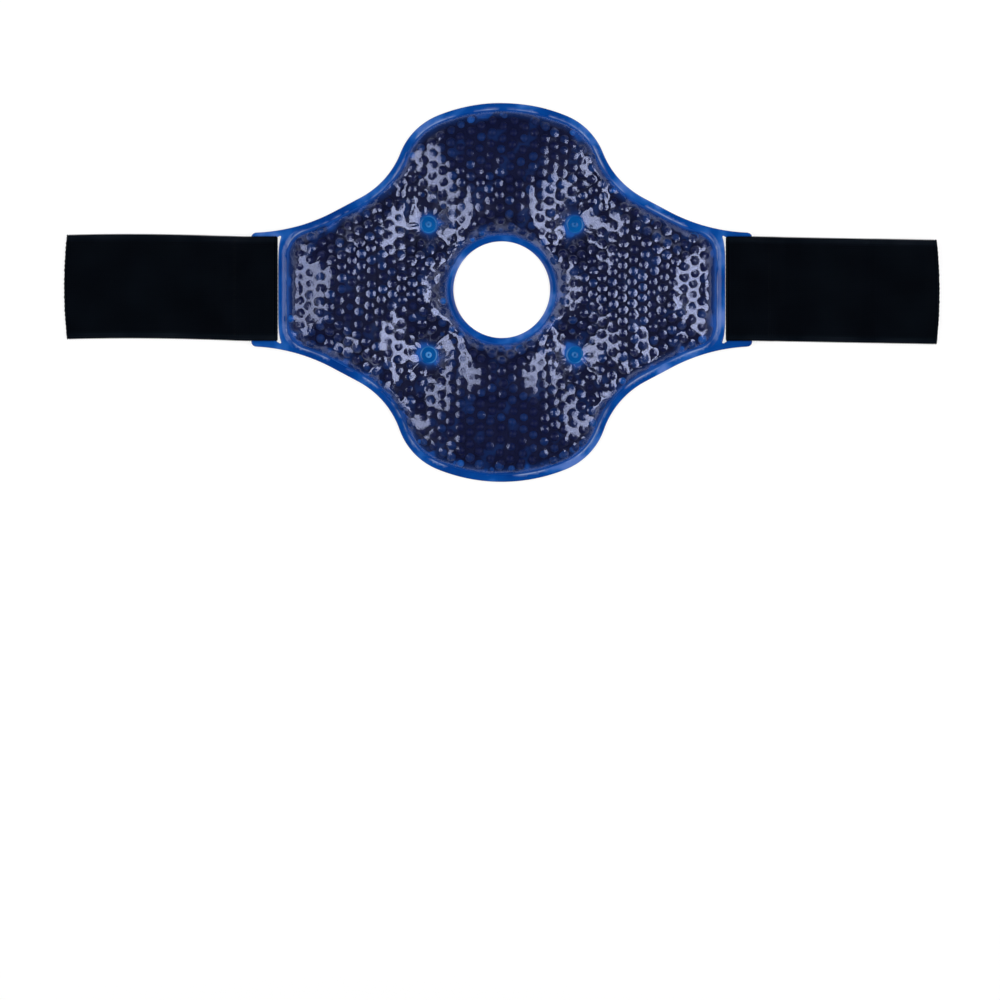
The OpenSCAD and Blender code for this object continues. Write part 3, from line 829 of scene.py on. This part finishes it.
def fromTree(name, points, material, tree, marks=None, **values):
    # Runs a node tree over points and keeps the result as a plain mesh
    seeds = makePiece("seeds", points, [], material, marks=marks)
    sockets = {s.name: s.identifier for s in tree.interface.items_tree if s.in_out == "INPUT"}
    modifier = seeds.modifiers.new("nodes", "NODES")
    modifier.node_group = tree
    for label, value in dict(values, Material=material).items():
        modifier[sockets[label]] = value
    mesh = evaluated(seeds, name)
    bpy.data.objects.remove(seeds)
    piece = bpy.data.objects.new(name, mesh)
    bpy.context.scene.collection.objects.link(piece)
    return piece


def heightsAt(points, verts):
    # Height of the refined sheet nearest to each point
    return verts[nearest(points, verts)[1], 2]


def gelDepthAt(points):
    # How deep the gel is: thin beside the welds, deep further in; the gel is painted brighter where it is thin
    rimGap, ringGap, spotGap = weldGaps(points)
    return np.clip(np.minimum.reduce([rimGap / 6, ringGap / 7, spotGap / 5]), 0, 1)


# Gel beads under the films
frontTop = heightsAt(frontSites, front)
backTop = heightsAt(backSites, front)
backLow = heightsAt(backSites, backFine)
frontSize = np.minimum(beads["radius"], (frontTop - 1.0) / 2) * beadRng.uniform(0.93, 1.03, len(frontSites))
backSize = np.minimum(beads["radius"], (backTop - 1.4) / 2) * backRng.uniform(0.93, 1.03, len(backSites))
frontZ = frontTop - film["thick"] - beads["skin"] - frontSize
backZ = backLow + back["thick"] + beads["skin"] + backSize
centers = np.concatenate([np.column_stack([frontSites, frontZ]), np.column_stack([backSites, backZ])])
sizes = np.concatenate([frontSize, backSize])
# Painted light: some beads are painted paler, as if light came through between them
paler = [beadRng.exponential(0.28, len(frontSites)), backRng.exponential(0.28, len(backSites))]
paler = np.concatenate(paler)
depths = gelDepthAt(centers) - np.minimum(paler, 0.55)
tree = sitesTree("packedBeads", "Int", ("Segments", "Rings", "Seed"), beadShape, smooth=True)
siteZone = bodyOf(centers)
for zone, suffix in enumerate(suffixes):
    mine = (siteZone == zone) & (sizes > beads["least"])
    marks = dict(size=sizes[mine] * mm, depth=depths[mine])
    piece = fromTree("beads_" + suffix, centers[mine], gelBead, tree, marks,
                     Segments=beads["segments"], Rings=beads["rings"], Seed=beads["seed"] + zone)
    dress(piece, zone, "gel_beads_" + suffix)
print("beads made", int((sizes > beads["least"]).sum()))

# Liquid gel that fills the gaps behind the beads
gel = dict(under=1.7, floor=0.95, least=0.05, thin=0.55, seed=91)
coarseTop = np.maximum(coarse[:, 2] - gel["under"], gel["floor"] + gel["least"])
coarseTop[gaps < 0.3] = gel["floor"]
top = np.column_stack([coarse[:, :2], coarseTop])
low = np.column_stack([coarse[:, :2], np.full(len(coarse), gel["floor"])])
# Painted light: the gel is painted paler here and there
paintedThroughLight = smoothstep(ripple(coarse, gel["seed"], 9, 26), 0.4, 1.4)  # light comes through here and there
gelDepth = np.clip(gelDepthAt(coarse) - gel["thin"] * paintedThroughLight, 0, 1)
coarseZone = bodyOf(coarse[np.array(sheetFaces)].mean(1))
for zone, suffix in enumerate(suffixes):
    used, part = cutOut(top, sheetFaces, coarseZone == zone)
    verts, faces, _ = closeUp(top[used], low[used], part)
    marks = dict(depth=np.concatenate([gelDepth[used], gelDepth[used]]))
    piece = makePiece("gel_" + suffix, verts, faces, gelMass, marks=marks)
    dress(piece, zone, "gel_beads_" + suffix)
print("gel made")

# Welded rim and tabs: one flat sheet with round edges, cut at the fold lines and where the tabs start
rim = dict(
    pitch=1.5,
    edge=0.5,        # radius of the round edges
    lift=1.0,        # soft waves along the outer edge
    slotX=126.6,
    slotWidth=4.4,
    slotHalf=30.9,
    slotBulge=1.9,
    rise=1.65,       # the tabs rise over the strap by this much
    riseX=(108, 123),
    calmX=(108, 124),  # the waves die out here
    bead=0.32,       # raised line beside the pouch
    beadWidth=0.36,
    beadAt=1.0,
)


def slotLine(side):
    # The slot's inner edge bellies towards the strap, so it gapes only at its ends
    y = np.linspace(-rim["slotHalf"], rim["slotHalf"], 60)
    inner = rim["slotX"] + rim["slotBulge"] * (1 - (y / rim["slotHalf"]) ** 6)
    outer = rim["slotX"] + 0.8 + (rim["slotWidth"] - 0.8) * (1 - (y / rim["slotHalf"]) ** 20)
    line = np.concatenate([np.column_stack([outer, y]), np.column_stack([inner, y])[::-1]])
    return evenly(line * [side, 1], 1.2)


def rimPlate():
    lines = [rimEdge(1.3), fillEdge(0.0, 1.3), slotLine(1), slotLine(-1)]
    loose = hexGrid(rim["pitch"], 150, 115)
    leastGap = lambda points: np.minimum.reduce([gapTo(points, line) for line in lines])
    loose = [loose[within(loose, lines) & (leastGap(loose) > rim["edge"] + rim["pitch"] * 0.45)]]
    for n, line in enumerate(lines):
        tangent = np.roll(line, -1, axis=0) - np.roll(line, 1, axis=0)
        normal = np.column_stack([tangent[:, 1], -tangent[:, 0]])
        normal /= np.linalg.norm(normal, axis=1)[:, None]
        signed = (line[:, 0] * np.roll(line[:, 1], -1) - np.roll(line[:, 0], -1) * line[:, 1]).sum()
        outward = np.sign(signed) * (-1 if n == 0 else 1)
        steps = [0.12, rim["edge"]]
        if n == 1:
            steps += [rim["beadAt"] - 0.35, rim["beadAt"], rim["beadAt"] + 0.4]
        loose += [line + outward * step * normal for step in steps]
    loose = np.concatenate(loose)
    upright = (-foldX, foldX, -pouch["tabStart"], pouch["tabStart"])
    cuts = crossLines(np.arange(-150, 150.1, 0.6), upright, (-foldY, foldY))
    for axis, value in ((0, foldX), (0, pouch["tabStart"]), (1, foldY)):
        loose = loose[abs(abs(loose[:, axis]) - value) > 0.25]
    loose = np.concatenate([loose] + [cut[leastGap(cut) > 0.1] for cut in cuts])
    points, faces = plateOf(loose, lines, cuts)
    return points, faces, leastGap(points)


flat, plateFaces, edgeGap = rimPlate()
out = np.maximum(0, gapTo(flat, fillLine)) / pouch["rimWidth"]
alongX = abs(flat[:, 0])
tabRise = smoothstep(out * pouch["rimWidth"], 0.2, 3.6) * smoothstep(alongX, *rim["riseX"])
middleZ = pouch["weldThick"] / 2 + rim["rise"] * tabRise
calm = 1 - smoothstep(alongX, *rim["calmX"])
waves = 0.5 + 0.5 * np.clip(ripple(flat, 61, 26, 60), -1.2, 1.2)
middleZ += rim["lift"] * np.clip(out, 0, 1.2) * waves * calm
half = pouch["weldThick"] / 2 * np.sqrt(1 - (1 - np.clip(edgeGap / rim["edge"], 0, 1)) ** 2)
# Raised bead line beside the pouch; the material paints the same shape paler, a painted highlight
stretch = np.exp(-(((out * pouch["rimWidth"] - rim["beadAt"]) / rim["beadWidth"]) ** 2))
count = len(flat)
rimTop = middleZ + half + rim["bead"] * stretch
both = np.concatenate([np.column_stack([flat, rimTop]), np.column_stack([flat, middleZ - half])])
onEdge = edgeGap < 1e-4
lower = np.where(onEdge, np.arange(count), np.arange(count) + count)
rimFaces = [tuple(f) for f in plateFaces] + [tuple(int(lower[i]) for i in reversed(f)) for f in plateFaces]
rimNormals = vertexNormals(both, np.array(rimFaces))
middle = flat[np.array(plateFaces)].mean(1)
plateZone = bodyOf(middle)
plateZone[abs(middle[:, 0]) > pouch["tabStart"]] += 4  # 5 left tab, 6 right tab
plateZone = np.concatenate([plateZone, plateZone])
mark = ("stretch", np.concatenate([stretch, stretch]))
cutPieces("rim_", both, rimFaces, plateZone, weldBlue, rimNormals, mark, "rim_weld_")
for zone, side in ((5, "left"), (6, "right")):
    used, part = cutOut(both, rimFaces, plateZone == zone)
    piece = makePiece("tab_" + side, both[used], part, weldBlue, rimNormals[used])
    settle(piece, side + "_wing", side + "_tab")
print("rim and tabs made", count)


# Ring and spot welds: turned profiles
def lathe(profile, center, steps, wobble=0.0):
    # The profile is a closed section that is turned about the centre
    verts = []
    for a in np.linspace(0, math.tau, steps, endpoint=False):
        lift = wobble * math.sin(3 * a + 1)
        verts += [(center[0] + r * math.cos(a), center[1] + r * math.sin(a), z + lift) for r, z in profile]
    n = len(profile)
    faces = []
    for k in range(steps):
        here, there = k * n, (k + 1) % steps * n
        faces += [(here + i, there + i, there + (i + 1) % n, here + (i + 1) % n) for i in range(n)]
    return np.array(verts), faces


ring = dict(steps=160, corner=0.45, bead=0.18, wobble=0.06)


def ringProfile():
    # A flat band with round edges and a slight bead along its inner edge
    low, high, thick, c = pouch["kneeRadius"], pouch["ringRadius"], pouch["weldThick"], ring["corner"]
    top = np.linspace(high - 0.8, low + 0.6, 10)
    section = np.concatenate([
        arc((high - c, c), c, -90, 0, 0.12), arc((high - c, thick - c), c, 0, 90, 0.12),
        [[r, thick + ring["bead"] * math.exp(-(((r - low - 0.9) / 0.5) ** 2))] for r in top],
        arc((low + c, thick - c), c, 90, 180, 0.12), arc((low + c, c), c, 180, 270, 0.12),
    ])
    return [(r, z + ring["wobble"]) for r, z in section]


verts, faces = lathe(ringProfile(), (0, 0), ring["steps"], ring["wobble"])
settle(makePiece("ring_band", verts, faces, weldBlue), "pad_center", "ring_weld")

spot = dict(steps=64, bossRadius=1.8, bossHole=0.6, bossHeight=0.4, dish=0.12, lip=0.22)


def spotProfile():
    # A pressed disc: raised lip at the rim, dished middle, small ring with a hollow
    thick, r, low = pouch["weldThick"], pouch["spotRadius"], pouch["weldThick"] - spot["dish"]
    hole, boss, tall, lip = spot["bossHole"], spot["bossRadius"], spot["bossHeight"], spot["lip"]
    middle, half = (boss + hole) / 2, (boss - hole) / 2
    top = [(0.02, thick - 0.25), (hole * 0.7, thick - 0.2), (hole, thick + tall * 0.55)]
    for t in np.linspace(0, math.pi, 7):
        top.append((middle - half * 0.8 * math.cos(t), thick + tall * (0.6 + 0.4 * math.sin(t))))
    top += [(boss + 0.12, low + 0.05), (boss + 0.2, low), (boss + 0.35, low)]
    top += [(r * 0.6, low), (r - 1.25, low), (r - 1.1, low), (r - 1.0, low + 0.05)]
    top += [(r - 0.75, thick + lip * 0.6), (r - 0.5, thick + lip), (r - 0.22, thick + lip * 0.6)]
    side = [(r - 0.05, thick - 0.15), (r, thick / 2), (r - 0.05, 0.2)]
    side += [(r - 0.25, 0.04), (r * 0.6, 0.0), (0.02, 0.0)]
    return (top + side)[::-1]


allVerts, allFaces = [], []
for center in spotCenters:
    verts, faces = lathe(spotProfile(), center, spot["steps"])
    allFaces += [tuple(i + len(allVerts) * len(verts) for i in f) for f in faces]
    allVerts.append(verts)
allVerts = np.concatenate(allVerts)
# Painted highlight: the spots' raised lip and boss are painted paler
raised = smoothstep(allVerts[:, 2], pouch["weldThick"] + 0.02, pouch["weldThick"] + 0.3)
piece = makePiece("spot_discs", allVerts, allFaces, spotBlue, marks=dict(stretch=raised))
settle(piece, "pad_center", "spot_welds")
print("welds made")

# Elastic straps: a band that loops round the tab's bar and lies flat to its free end
strap = dict(
    halfWidth=30.0,
    half=0.62,          # half the band's thickness, without the weave
    rib=weavePitch,
    selvedge=3.5,
    selvedgeColumn=0.7,
    weave=0.13,         # height of the weave
    serration=0.28,
    serrationPitch=1.5,
    barX=130.75,        # centre of the turn round the bar
    barZ=2.15,
    turn=1.45,
    foldX=joints["right_strap_fold"]["pos_m"][0] / mm,
    bendX=joints["right_strap_bend"]["pos_m"][0] / mm,
    tailX=197.0,
    lapX=157.0,
    dropX=(144.0, 152.0),   # the front layer comes down on the lap
    lowerX=(156.0, 163.5),  # and from the lap to the table
    reach=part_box("right_strap_end")[1].x / mm,
    hookX=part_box("hook_patch")[0].x / mm,
    hookThick=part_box("hook_patch")[1].z / mm,
    fringe=0.45,
    bow=1.6,            # the free end bellies out in the middle
)


def strapPath(lifted):
    # Middle line of the band, seen from its edge: under layer, turn, front layer, free end
    s = strap
    turn = arc((s["barX"], s["barZ"]), s["turn"], 270, 90, 0.3)
    high, low = s["barZ"] + s["turn"], s["barZ"] - s["turn"]
    underX = np.arange(s["lapX"], s["barX"], -0.5)
    under = np.column_stack([underX, np.full(len(underX), low)])
    x = np.arange(s["barX"] + 0.3, s["reach"] + 0.01, 0.25)
    z = high - (high - 3 * low) * smoothstep(x, *s["dropX"])
    z -= 2 * low * smoothstep(x, *s["lowerX"])
    if lifted:
        z += s["hookThick"] * smoothstep(x, s["hookX"] - 5, s["hookX"] - 0.5)
    line = np.concatenate([under, turn, np.column_stack([x, z])])
    return evenly(line, s["rib"] / 4, closed=False)


def strapColumns():
    s = strap
    edge = np.arange(-s["halfWidth"] + 0.35, -s["halfWidth"] + s["selvedge"], s["selvedgeColumn"])
    inner = s["halfWidth"] - s["selvedge"]
    middle = np.linspace(-inner, inner, round(2 * inner / s["rib"]) + 1)
    return np.concatenate([edge, middle, -edge[::-1]]), len(edge)


def strapDrift(x, side):
    # The straps don't lie quite straight
    t = np.clip((x - strap["foldX"]) / (strap["reach"] - strap["foldX"]), 0, 1)
    return 0.5 - 1.9 * t if side > 0 else 0.5 + 1.5 * np.sin(t * 2.4)


def strapGrid(side):
    # Points of the band's front and back, row by row along the path
    s = strap
    path = strapPath(side > 0)
    step = np.gradient(path, axis=0)
    step /= np.linalg.norm(step, axis=1)[:, None]
    normal = np.column_stack([-step[:, 1], step[:, 0]])
    columns, edgeCount = strapColumns()
    count = len(columns)
    along = np.arange(len(path)) * s["rib"] / 4
    isEdge = np.zeros(count, bool)
    isEdge[:edgeCount] = True
    isEdge[-edgeCount:] = True
    phase = math.pi * (np.arange(count) % 2)
    height = np.where(isEdge, 0.45, 1.0) * s["weave"]
    wave = np.cos(math.tau * along[:, None] / s["rib"] + phase) * height
    lift = 0.5 + 0.5 * wave / s["weave"]
    taper = np.where(isEdge, 1.0 - 0.25 * smoothstep(abs(columns), s["halfWidth"] - 1.2, s["halfWidth"]), 1.0)
    tooth = s["serration"] * np.cos(math.tau * along / s["serrationPitch"])
    drift = strapDrift(path[:, 0], side)
    last = np.arange(len(path)) / (len(path) - 1)
    bow = s["bow"] * (smoothstep(last, 0.8, 1.0))[:, None] * (1 - (columns / s["halfWidth"]) ** 2)
    front, rear = np.empty((len(path), count + 2, 3)), np.empty((len(path), count + 2, 3))
    for grid, sign in ((front, 1), (rear, -1)):
        off = sign * (s["half"] * taper + sign * wave)
        grid[:, 1:-1, 0] = path[:, :1] + normal[:, :1] * off + bow
        grid[:, 1:-1, 1] = columns + drift[:, None]
        grid[:, 1:-1, 2] = path[:, 1:] + normal[:, 1:] * off
        for end, way in ((0, -1), (-1, 1)):
            grid[:, end, 0] = path[:, 0]
            grid[:, end, 1] = way * (s["halfWidth"] + tooth) + drift
            grid[:, end, 2] = path[:, 1]
    teeth = s["fringe"] * np.random.default_rng(3).uniform(0.3, 1.0, count) * (np.arange(count) % 2)
    for grid in (front, rear):
        grid[-1, 1:-1, 0] += teeth
        grid[0, 1:-1, 0] += teeth
        grid[:, :, 0] *= side
    lift = np.column_stack([np.full(len(path), 0.6), lift, np.full(len(path), 0.6)])
    across = np.concatenate([[-s["halfWidth"]], columns, [s["halfWidth"]]])
    return front, rear, lift, along, path, across


def strapPart(side, grids, first, last, closeFirst=False, closeLast=False):
    # A stretch of the band between two rows, closed at the ends that are asked for
    front, rear, lift, along, _, across = grids
    count, rows = front.shape[1], slice(first, last + 1)
    length = last + 1 - first
    size = length * count
    verts = np.concatenate([front[rows].reshape(-1, 3), rear[rows].reshape(-1, 3)])
    # The weave's height on each face, which the elastic's material paints as a highlight on the raised yarns
    marks = np.concatenate([lift[rows].ravel(), 1.0 - lift[rows].ravel()])
    uv = np.column_stack([np.repeat(along[rows], count), np.tile(across, length)])
    rearIndex = lambda i: i if i % count in (0, count - 1) else i + size
    faces = []
    for r in range(length - 1):
        for c in range(count - 1):
            a, b = r * count + c, r * count + c + 1
            d, e = a + count, b + count
            faces.append((a, d, e, b))
            faces.append(tuple(rearIndex(i) for i in (a, b, e, d)))
    for row, wanted in ((0, closeFirst), (length - 1, closeLast)):
        if not wanted:
            continue
        for c in range(count - 1):
            a, b = row * count + c, row * count + c + 1
            wall = [i for k, i in enumerate((a, b, rearIndex(b), rearIndex(a))) if i not in (a, b) or k < 2]
            faces.append(tuple(wall) if row else tuple(reversed(wall)))
    if side < 0:
        faces = [tuple(reversed(f)) for f in faces]
    return verts, faces, marks, np.concatenate([uv, uv])


def strapPiece(name, parts):
    verts, faces, marks, uvs = [], [], [], []
    for v, f, m, u in parts:
        first = sum(len(x) for x in verts)
        faces += [tuple(i + first for i in face) for face in f]
        verts.append(v)
        marks.append(m)
        uvs.append(u)
    verts, marks, uvs = np.concatenate(verts), np.concatenate(marks), np.concatenate(uvs)
    used, faces = cutOut(verts, faces, [True] * len(faces))
    piece = makePiece(name, verts[used], faces, wovenElastic, marks=dict(lift=marks[used]))
    layer = piece.data.uv_layers.new(name="weave")
    corner = np.empty(len(piece.data.loops), int)
    piece.data.loops.foreach_get("vertex_index", corner)
    layer.data.foreach_set("uv", (uvs[used][corner] * mm).astype(np.float32).ravel())
    return piece


def onStrap(side, x):
    return (side * x * mm, 0, 0)


foldRun = 8.0  # length past a strap's fold; its end is worked out but the straps are not bent here
for side, word in ((1, "right"), (-1, "left")):
    grids = strapGrid(side)
    path = grids[4]
    isFront = np.arange(len(path)) > int(np.argmin(path[:, 0]))
    rowAt = lambda x, front: int(np.argmin(abs(path[:, 0] - x) + np.where(isFront == front, 0, 1e3)))
    firstFold, lastFold = rowAt(strap["foldX"], False), rowAt(strap["foldX"], True)
    bendRow, tailRow, endRow = rowAt(strap["bendX"], True), rowAt(strap["tailX"], True), len(path) - 1
    foldAt, foldEnd = onStrap(side, strap["foldX"]), onStrap(side, strap["foldX"] + foldRun)
    bendAt, tailAt = onStrap(side, strap["bendX"]), onStrap(side, strap["tailX"])
    stretchEnd = onStrap(side, strap["hookX"] - 1 if side > 0 else strap["reach"] - 6)
    part = lambda *rows, **closed: strapPart(side, grids, *rows, **closed)
    lap = part(0, firstFold, closeFirst=True)
    wing, strapBody = word + "_wing", word + "_strap"
    tailBody, endBody = strapBody + "_tail", strapBody + "_end"
    runs = [
        ("loop", [part(firstFold, lastFold)], None),
        ("band", [lap, part(lastFold, bendRow)], (wing, strapBody, foldAt, foldEnd)),
        ("tail", [part(bendRow, tailRow)], (strapBody, tailBody, bendAt, tailAt)),
        ("end", [part(tailRow, endRow, closeLast=True)], (tailBody, endBody, tailAt, stretchEnd)),
    ]
    for label, parts, bend in runs:
        piece = strapPiece("strap_" + label + "_" + word, parts)
        if bend:
            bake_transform(piece)
        else:
            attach(piece, wing)
        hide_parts(strapBody + "_" + label)
print("straps made")

# Stitches across each strap's lap
stitches = dict(count=17, pitch=3.3, length=2.4, thread=0.25, sag=0.18, x=153.55)
threads = sitesTree("lapStitches", "Float", ("Length", "Thread", "Sag"), stitchShape)
for side, word in ((1, "right"), (-1, "left")):
    s = stitches
    rows = (np.arange(s["count"]) - (s["count"] - 1) / 2) * s["pitch"]
    top = 4 * (strap["barZ"] - strap["turn"])
    sites = [(side * s["x"], row + strapDrift(s["x"], side), top + 0.02) for row in rows]
    piece = fromTree("stitches_" + word, sites, sewingThread, threads,
                     Length=s["length"] * mm, Thread=s["thread"] * mm, Sag=s["sag"] * mm)
    foldAt, foldEnd = onStrap(side, strap["foldX"]), onStrap(side, strap["foldX"] + foldRun)
    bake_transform(piece)
    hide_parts(word + "_strap_stitches")
print("stitches made")

# Hook patch under the right strap's end: a woven base with rows of small hooks
hook = dict(base=0.55, corner=2.5, pitch=1.6, wire=0.1, height=0.5, lean=0.28)
hookLow, hookHigh = [np.array(v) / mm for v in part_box("hook_patch")]


def hookBase():
    # Rounded plate, drawn as rings from its edge to its middle
    c = hook["corner"]
    size = (hookHigh - hookLow)[:2]
    middle = ((hookHigh + hookLow) / 2)[:2]
    corners = [(size / 2 - c) * s for s in ([1, 1], [-1, 1], [-1, -1], [1, -1])]
    line = np.concatenate([arc(p, c, 90 * k, 90 * k + 90, 0.5) for k, p in enumerate(corners)])
    top, low = hookHigh[2] - 0.02, hookHigh[2] - hook["base"]
    rings = [(0.6, low), (0.98, low), (1.0, low + 0.12), (1.0, top - 0.12), (0.98, top), (0.6, top)]
    n = len(line)
    verts = np.concatenate([np.column_stack([middle + line * share, np.full(n, z)]) for share, z in rings])
    faces = [tuple(reversed(range(n)))]
    for k in range(len(rings) - 1):
        here, there = k * n, (k + 1) * n
        faces += [(here + i, here + (i + 1) % n, there + (i + 1) % n, there + i) for i in range(n)]
    faces.append(tuple(range((len(rings) - 1) * n, len(rings) * n)))
    return verts, faces


settle(makePiece("hook_base", *hookBase(), hookTape), "right_strap_end", "hook_patch")
hookRows = np.arange(hookLow[1] + 1.6, hookHigh[1] - 1.2, hook["pitch"])
hookCols = np.arange(hookLow[0] + 1.6, hookHigh[0] - 1.6, hook["pitch"])
hookFoot = hookHigh[2] - hook["base"] + 0.02
sites = np.array([(x + 0.5 * (n % 2), y, hookFoot) for n, y in enumerate(hookRows) for x in hookCols])
tree = sitesTree("hookRows", "Float", ("Height", "Lean", "Wire"), hookShape)
piece = fromTree("hook_rows", sites, hookTape, tree,
                 Height=hook["height"] * mm, Lean=hook["lean"] * mm, Wire=hook["wire"] * mm)
settle(piece, "right_strap_end", "hook_patch")
print("hook patch made", len(sites))

# Floor: white to the eye, with a soft shadow; clear from behind, so that views from below see the object
stage = dict(size=6.0, glow=0.8, shade=0.24, drop=0.0003)


def floorMaterial():
    mat, add, _ = newMaterial("paleFloor")
    path = add("LightPath").outputs
    mirrored = mathOf(add, "MAXIMUM", path["Is Glossy Ray"], path["Is Transmission Ray"])
    seen = mathOf(add, "MAXIMUM", path["Is Camera Ray"], mirrored)
    light = add("Emission", Color=(1, 1, 1, 1), Strength=mathOf(add, "MULTIPLY", seen, stage["glow"]))
    shade = add("BsdfDiffuse", Color=(stage["shade"],) * 3 + (1,))
    total = add("AddShader")
    for socket, surface in zip(total.inputs, (light, shade)):
        feed(socket, surface.outputs[0])
    behind = add("NewGeometry").outputs["Backfacing"]
    add("OutputMaterial", Surface=mixOf(add, behind, total, add("BsdfTransparent")))
    return mat


half = stage["size"] / 2 / mm
floorVerts = [(-half, -half, 0), (half, -half, 0), (half, half, 0), (-half, half, 0)]
floor = makePiece("floor", np.array(floorVerts) - [0, 0, stage["drop"] / mm], [(0, 1, 2, 3)], floorMaterial())
floor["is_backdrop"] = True

# Light: a softbox on either side and a dim room, white at the horizon and dark overhead
light = dict(distance=1.1, angle=42.0, width=0.72, length=1.15, left=7.4, right=8.6, room=0.2, ceiling=0.025)
for side in (-1, 1):
    lamp = bpy.data.lights.new("softbox", "AREA")
    lamp.shape = "RECTANGLE"
    lamp.size = light["width"]
    lamp.size_y = light["length"]
    lamp.energy = light["right"] if side > 0 else light["left"]
    box = bpy.data.objects.new("softbox", lamp)
    bpy.context.scene.collection.objects.link(box)
    tilt = math.radians(light["angle"])
    box.location = (side * light["distance"] * math.sin(tilt), 0, light["distance"] * math.cos(tilt))
    box.rotation_euler = (0, side * tilt, 0)


def roomLight():
    world = bpy.data.worlds.new("room")
    bpy.context.scene.world = world
    world.use_nodes = True
    world.node_tree.nodes.clear()
    add = nodeMaker(world.node_tree)
    path = add("LightPath").outputs
    height = add("SeparateXYZ", Vector=add("TexCoord").outputs["Generated"]).outputs["Z"]
    ends = dict(From_Min=0.05, From_Max=0.5, To_Min=1.0, To_Max=light["ceiling"])
    fade = rangeOf(add, height, interpolation_type="SMOOTHSTEP", **ends)
    mirror = mathOf(add, "MAXIMUM", path["Is Glossy Ray"], path["Is Transmission Ray"])
    dim = add("Mix", A=light["room"], B=fade, Factor=mirror).outputs["Result"]
    seen = add("Mix", A=dim, B=1.0, Factor=path["Is Camera Ray"]).outputs["Result"]
    add("OutputWorld", Surface=add("Background", Strength=seen).outputs[0])


roomLight()

# Camera straight above, at the photograph's framing
view = dict(width=0.574, x=-0.001, y=-0.1209, distance=3.0, level=0.005)
camera = bpy.data.cameras.new("camera")
camera.sensor_width = 36.0
camera.lens = camera.sensor_width * (view["distance"] - view["level"]) / view["width"]
camera.clip_end = 50.0
eye = bpy.data.objects.new("camera", camera)
eye.location = (view["x"], view["y"], view["distance"])
bpy.context.scene.collection.objects.link(eye)
bpy.context.scene.camera = eye
bpy.context.scene.view_settings.view_transform = "Standard"
print("stage made")

sizes = dict(cad=[list(v) for v in cadBox], visual=[list(v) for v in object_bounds()])
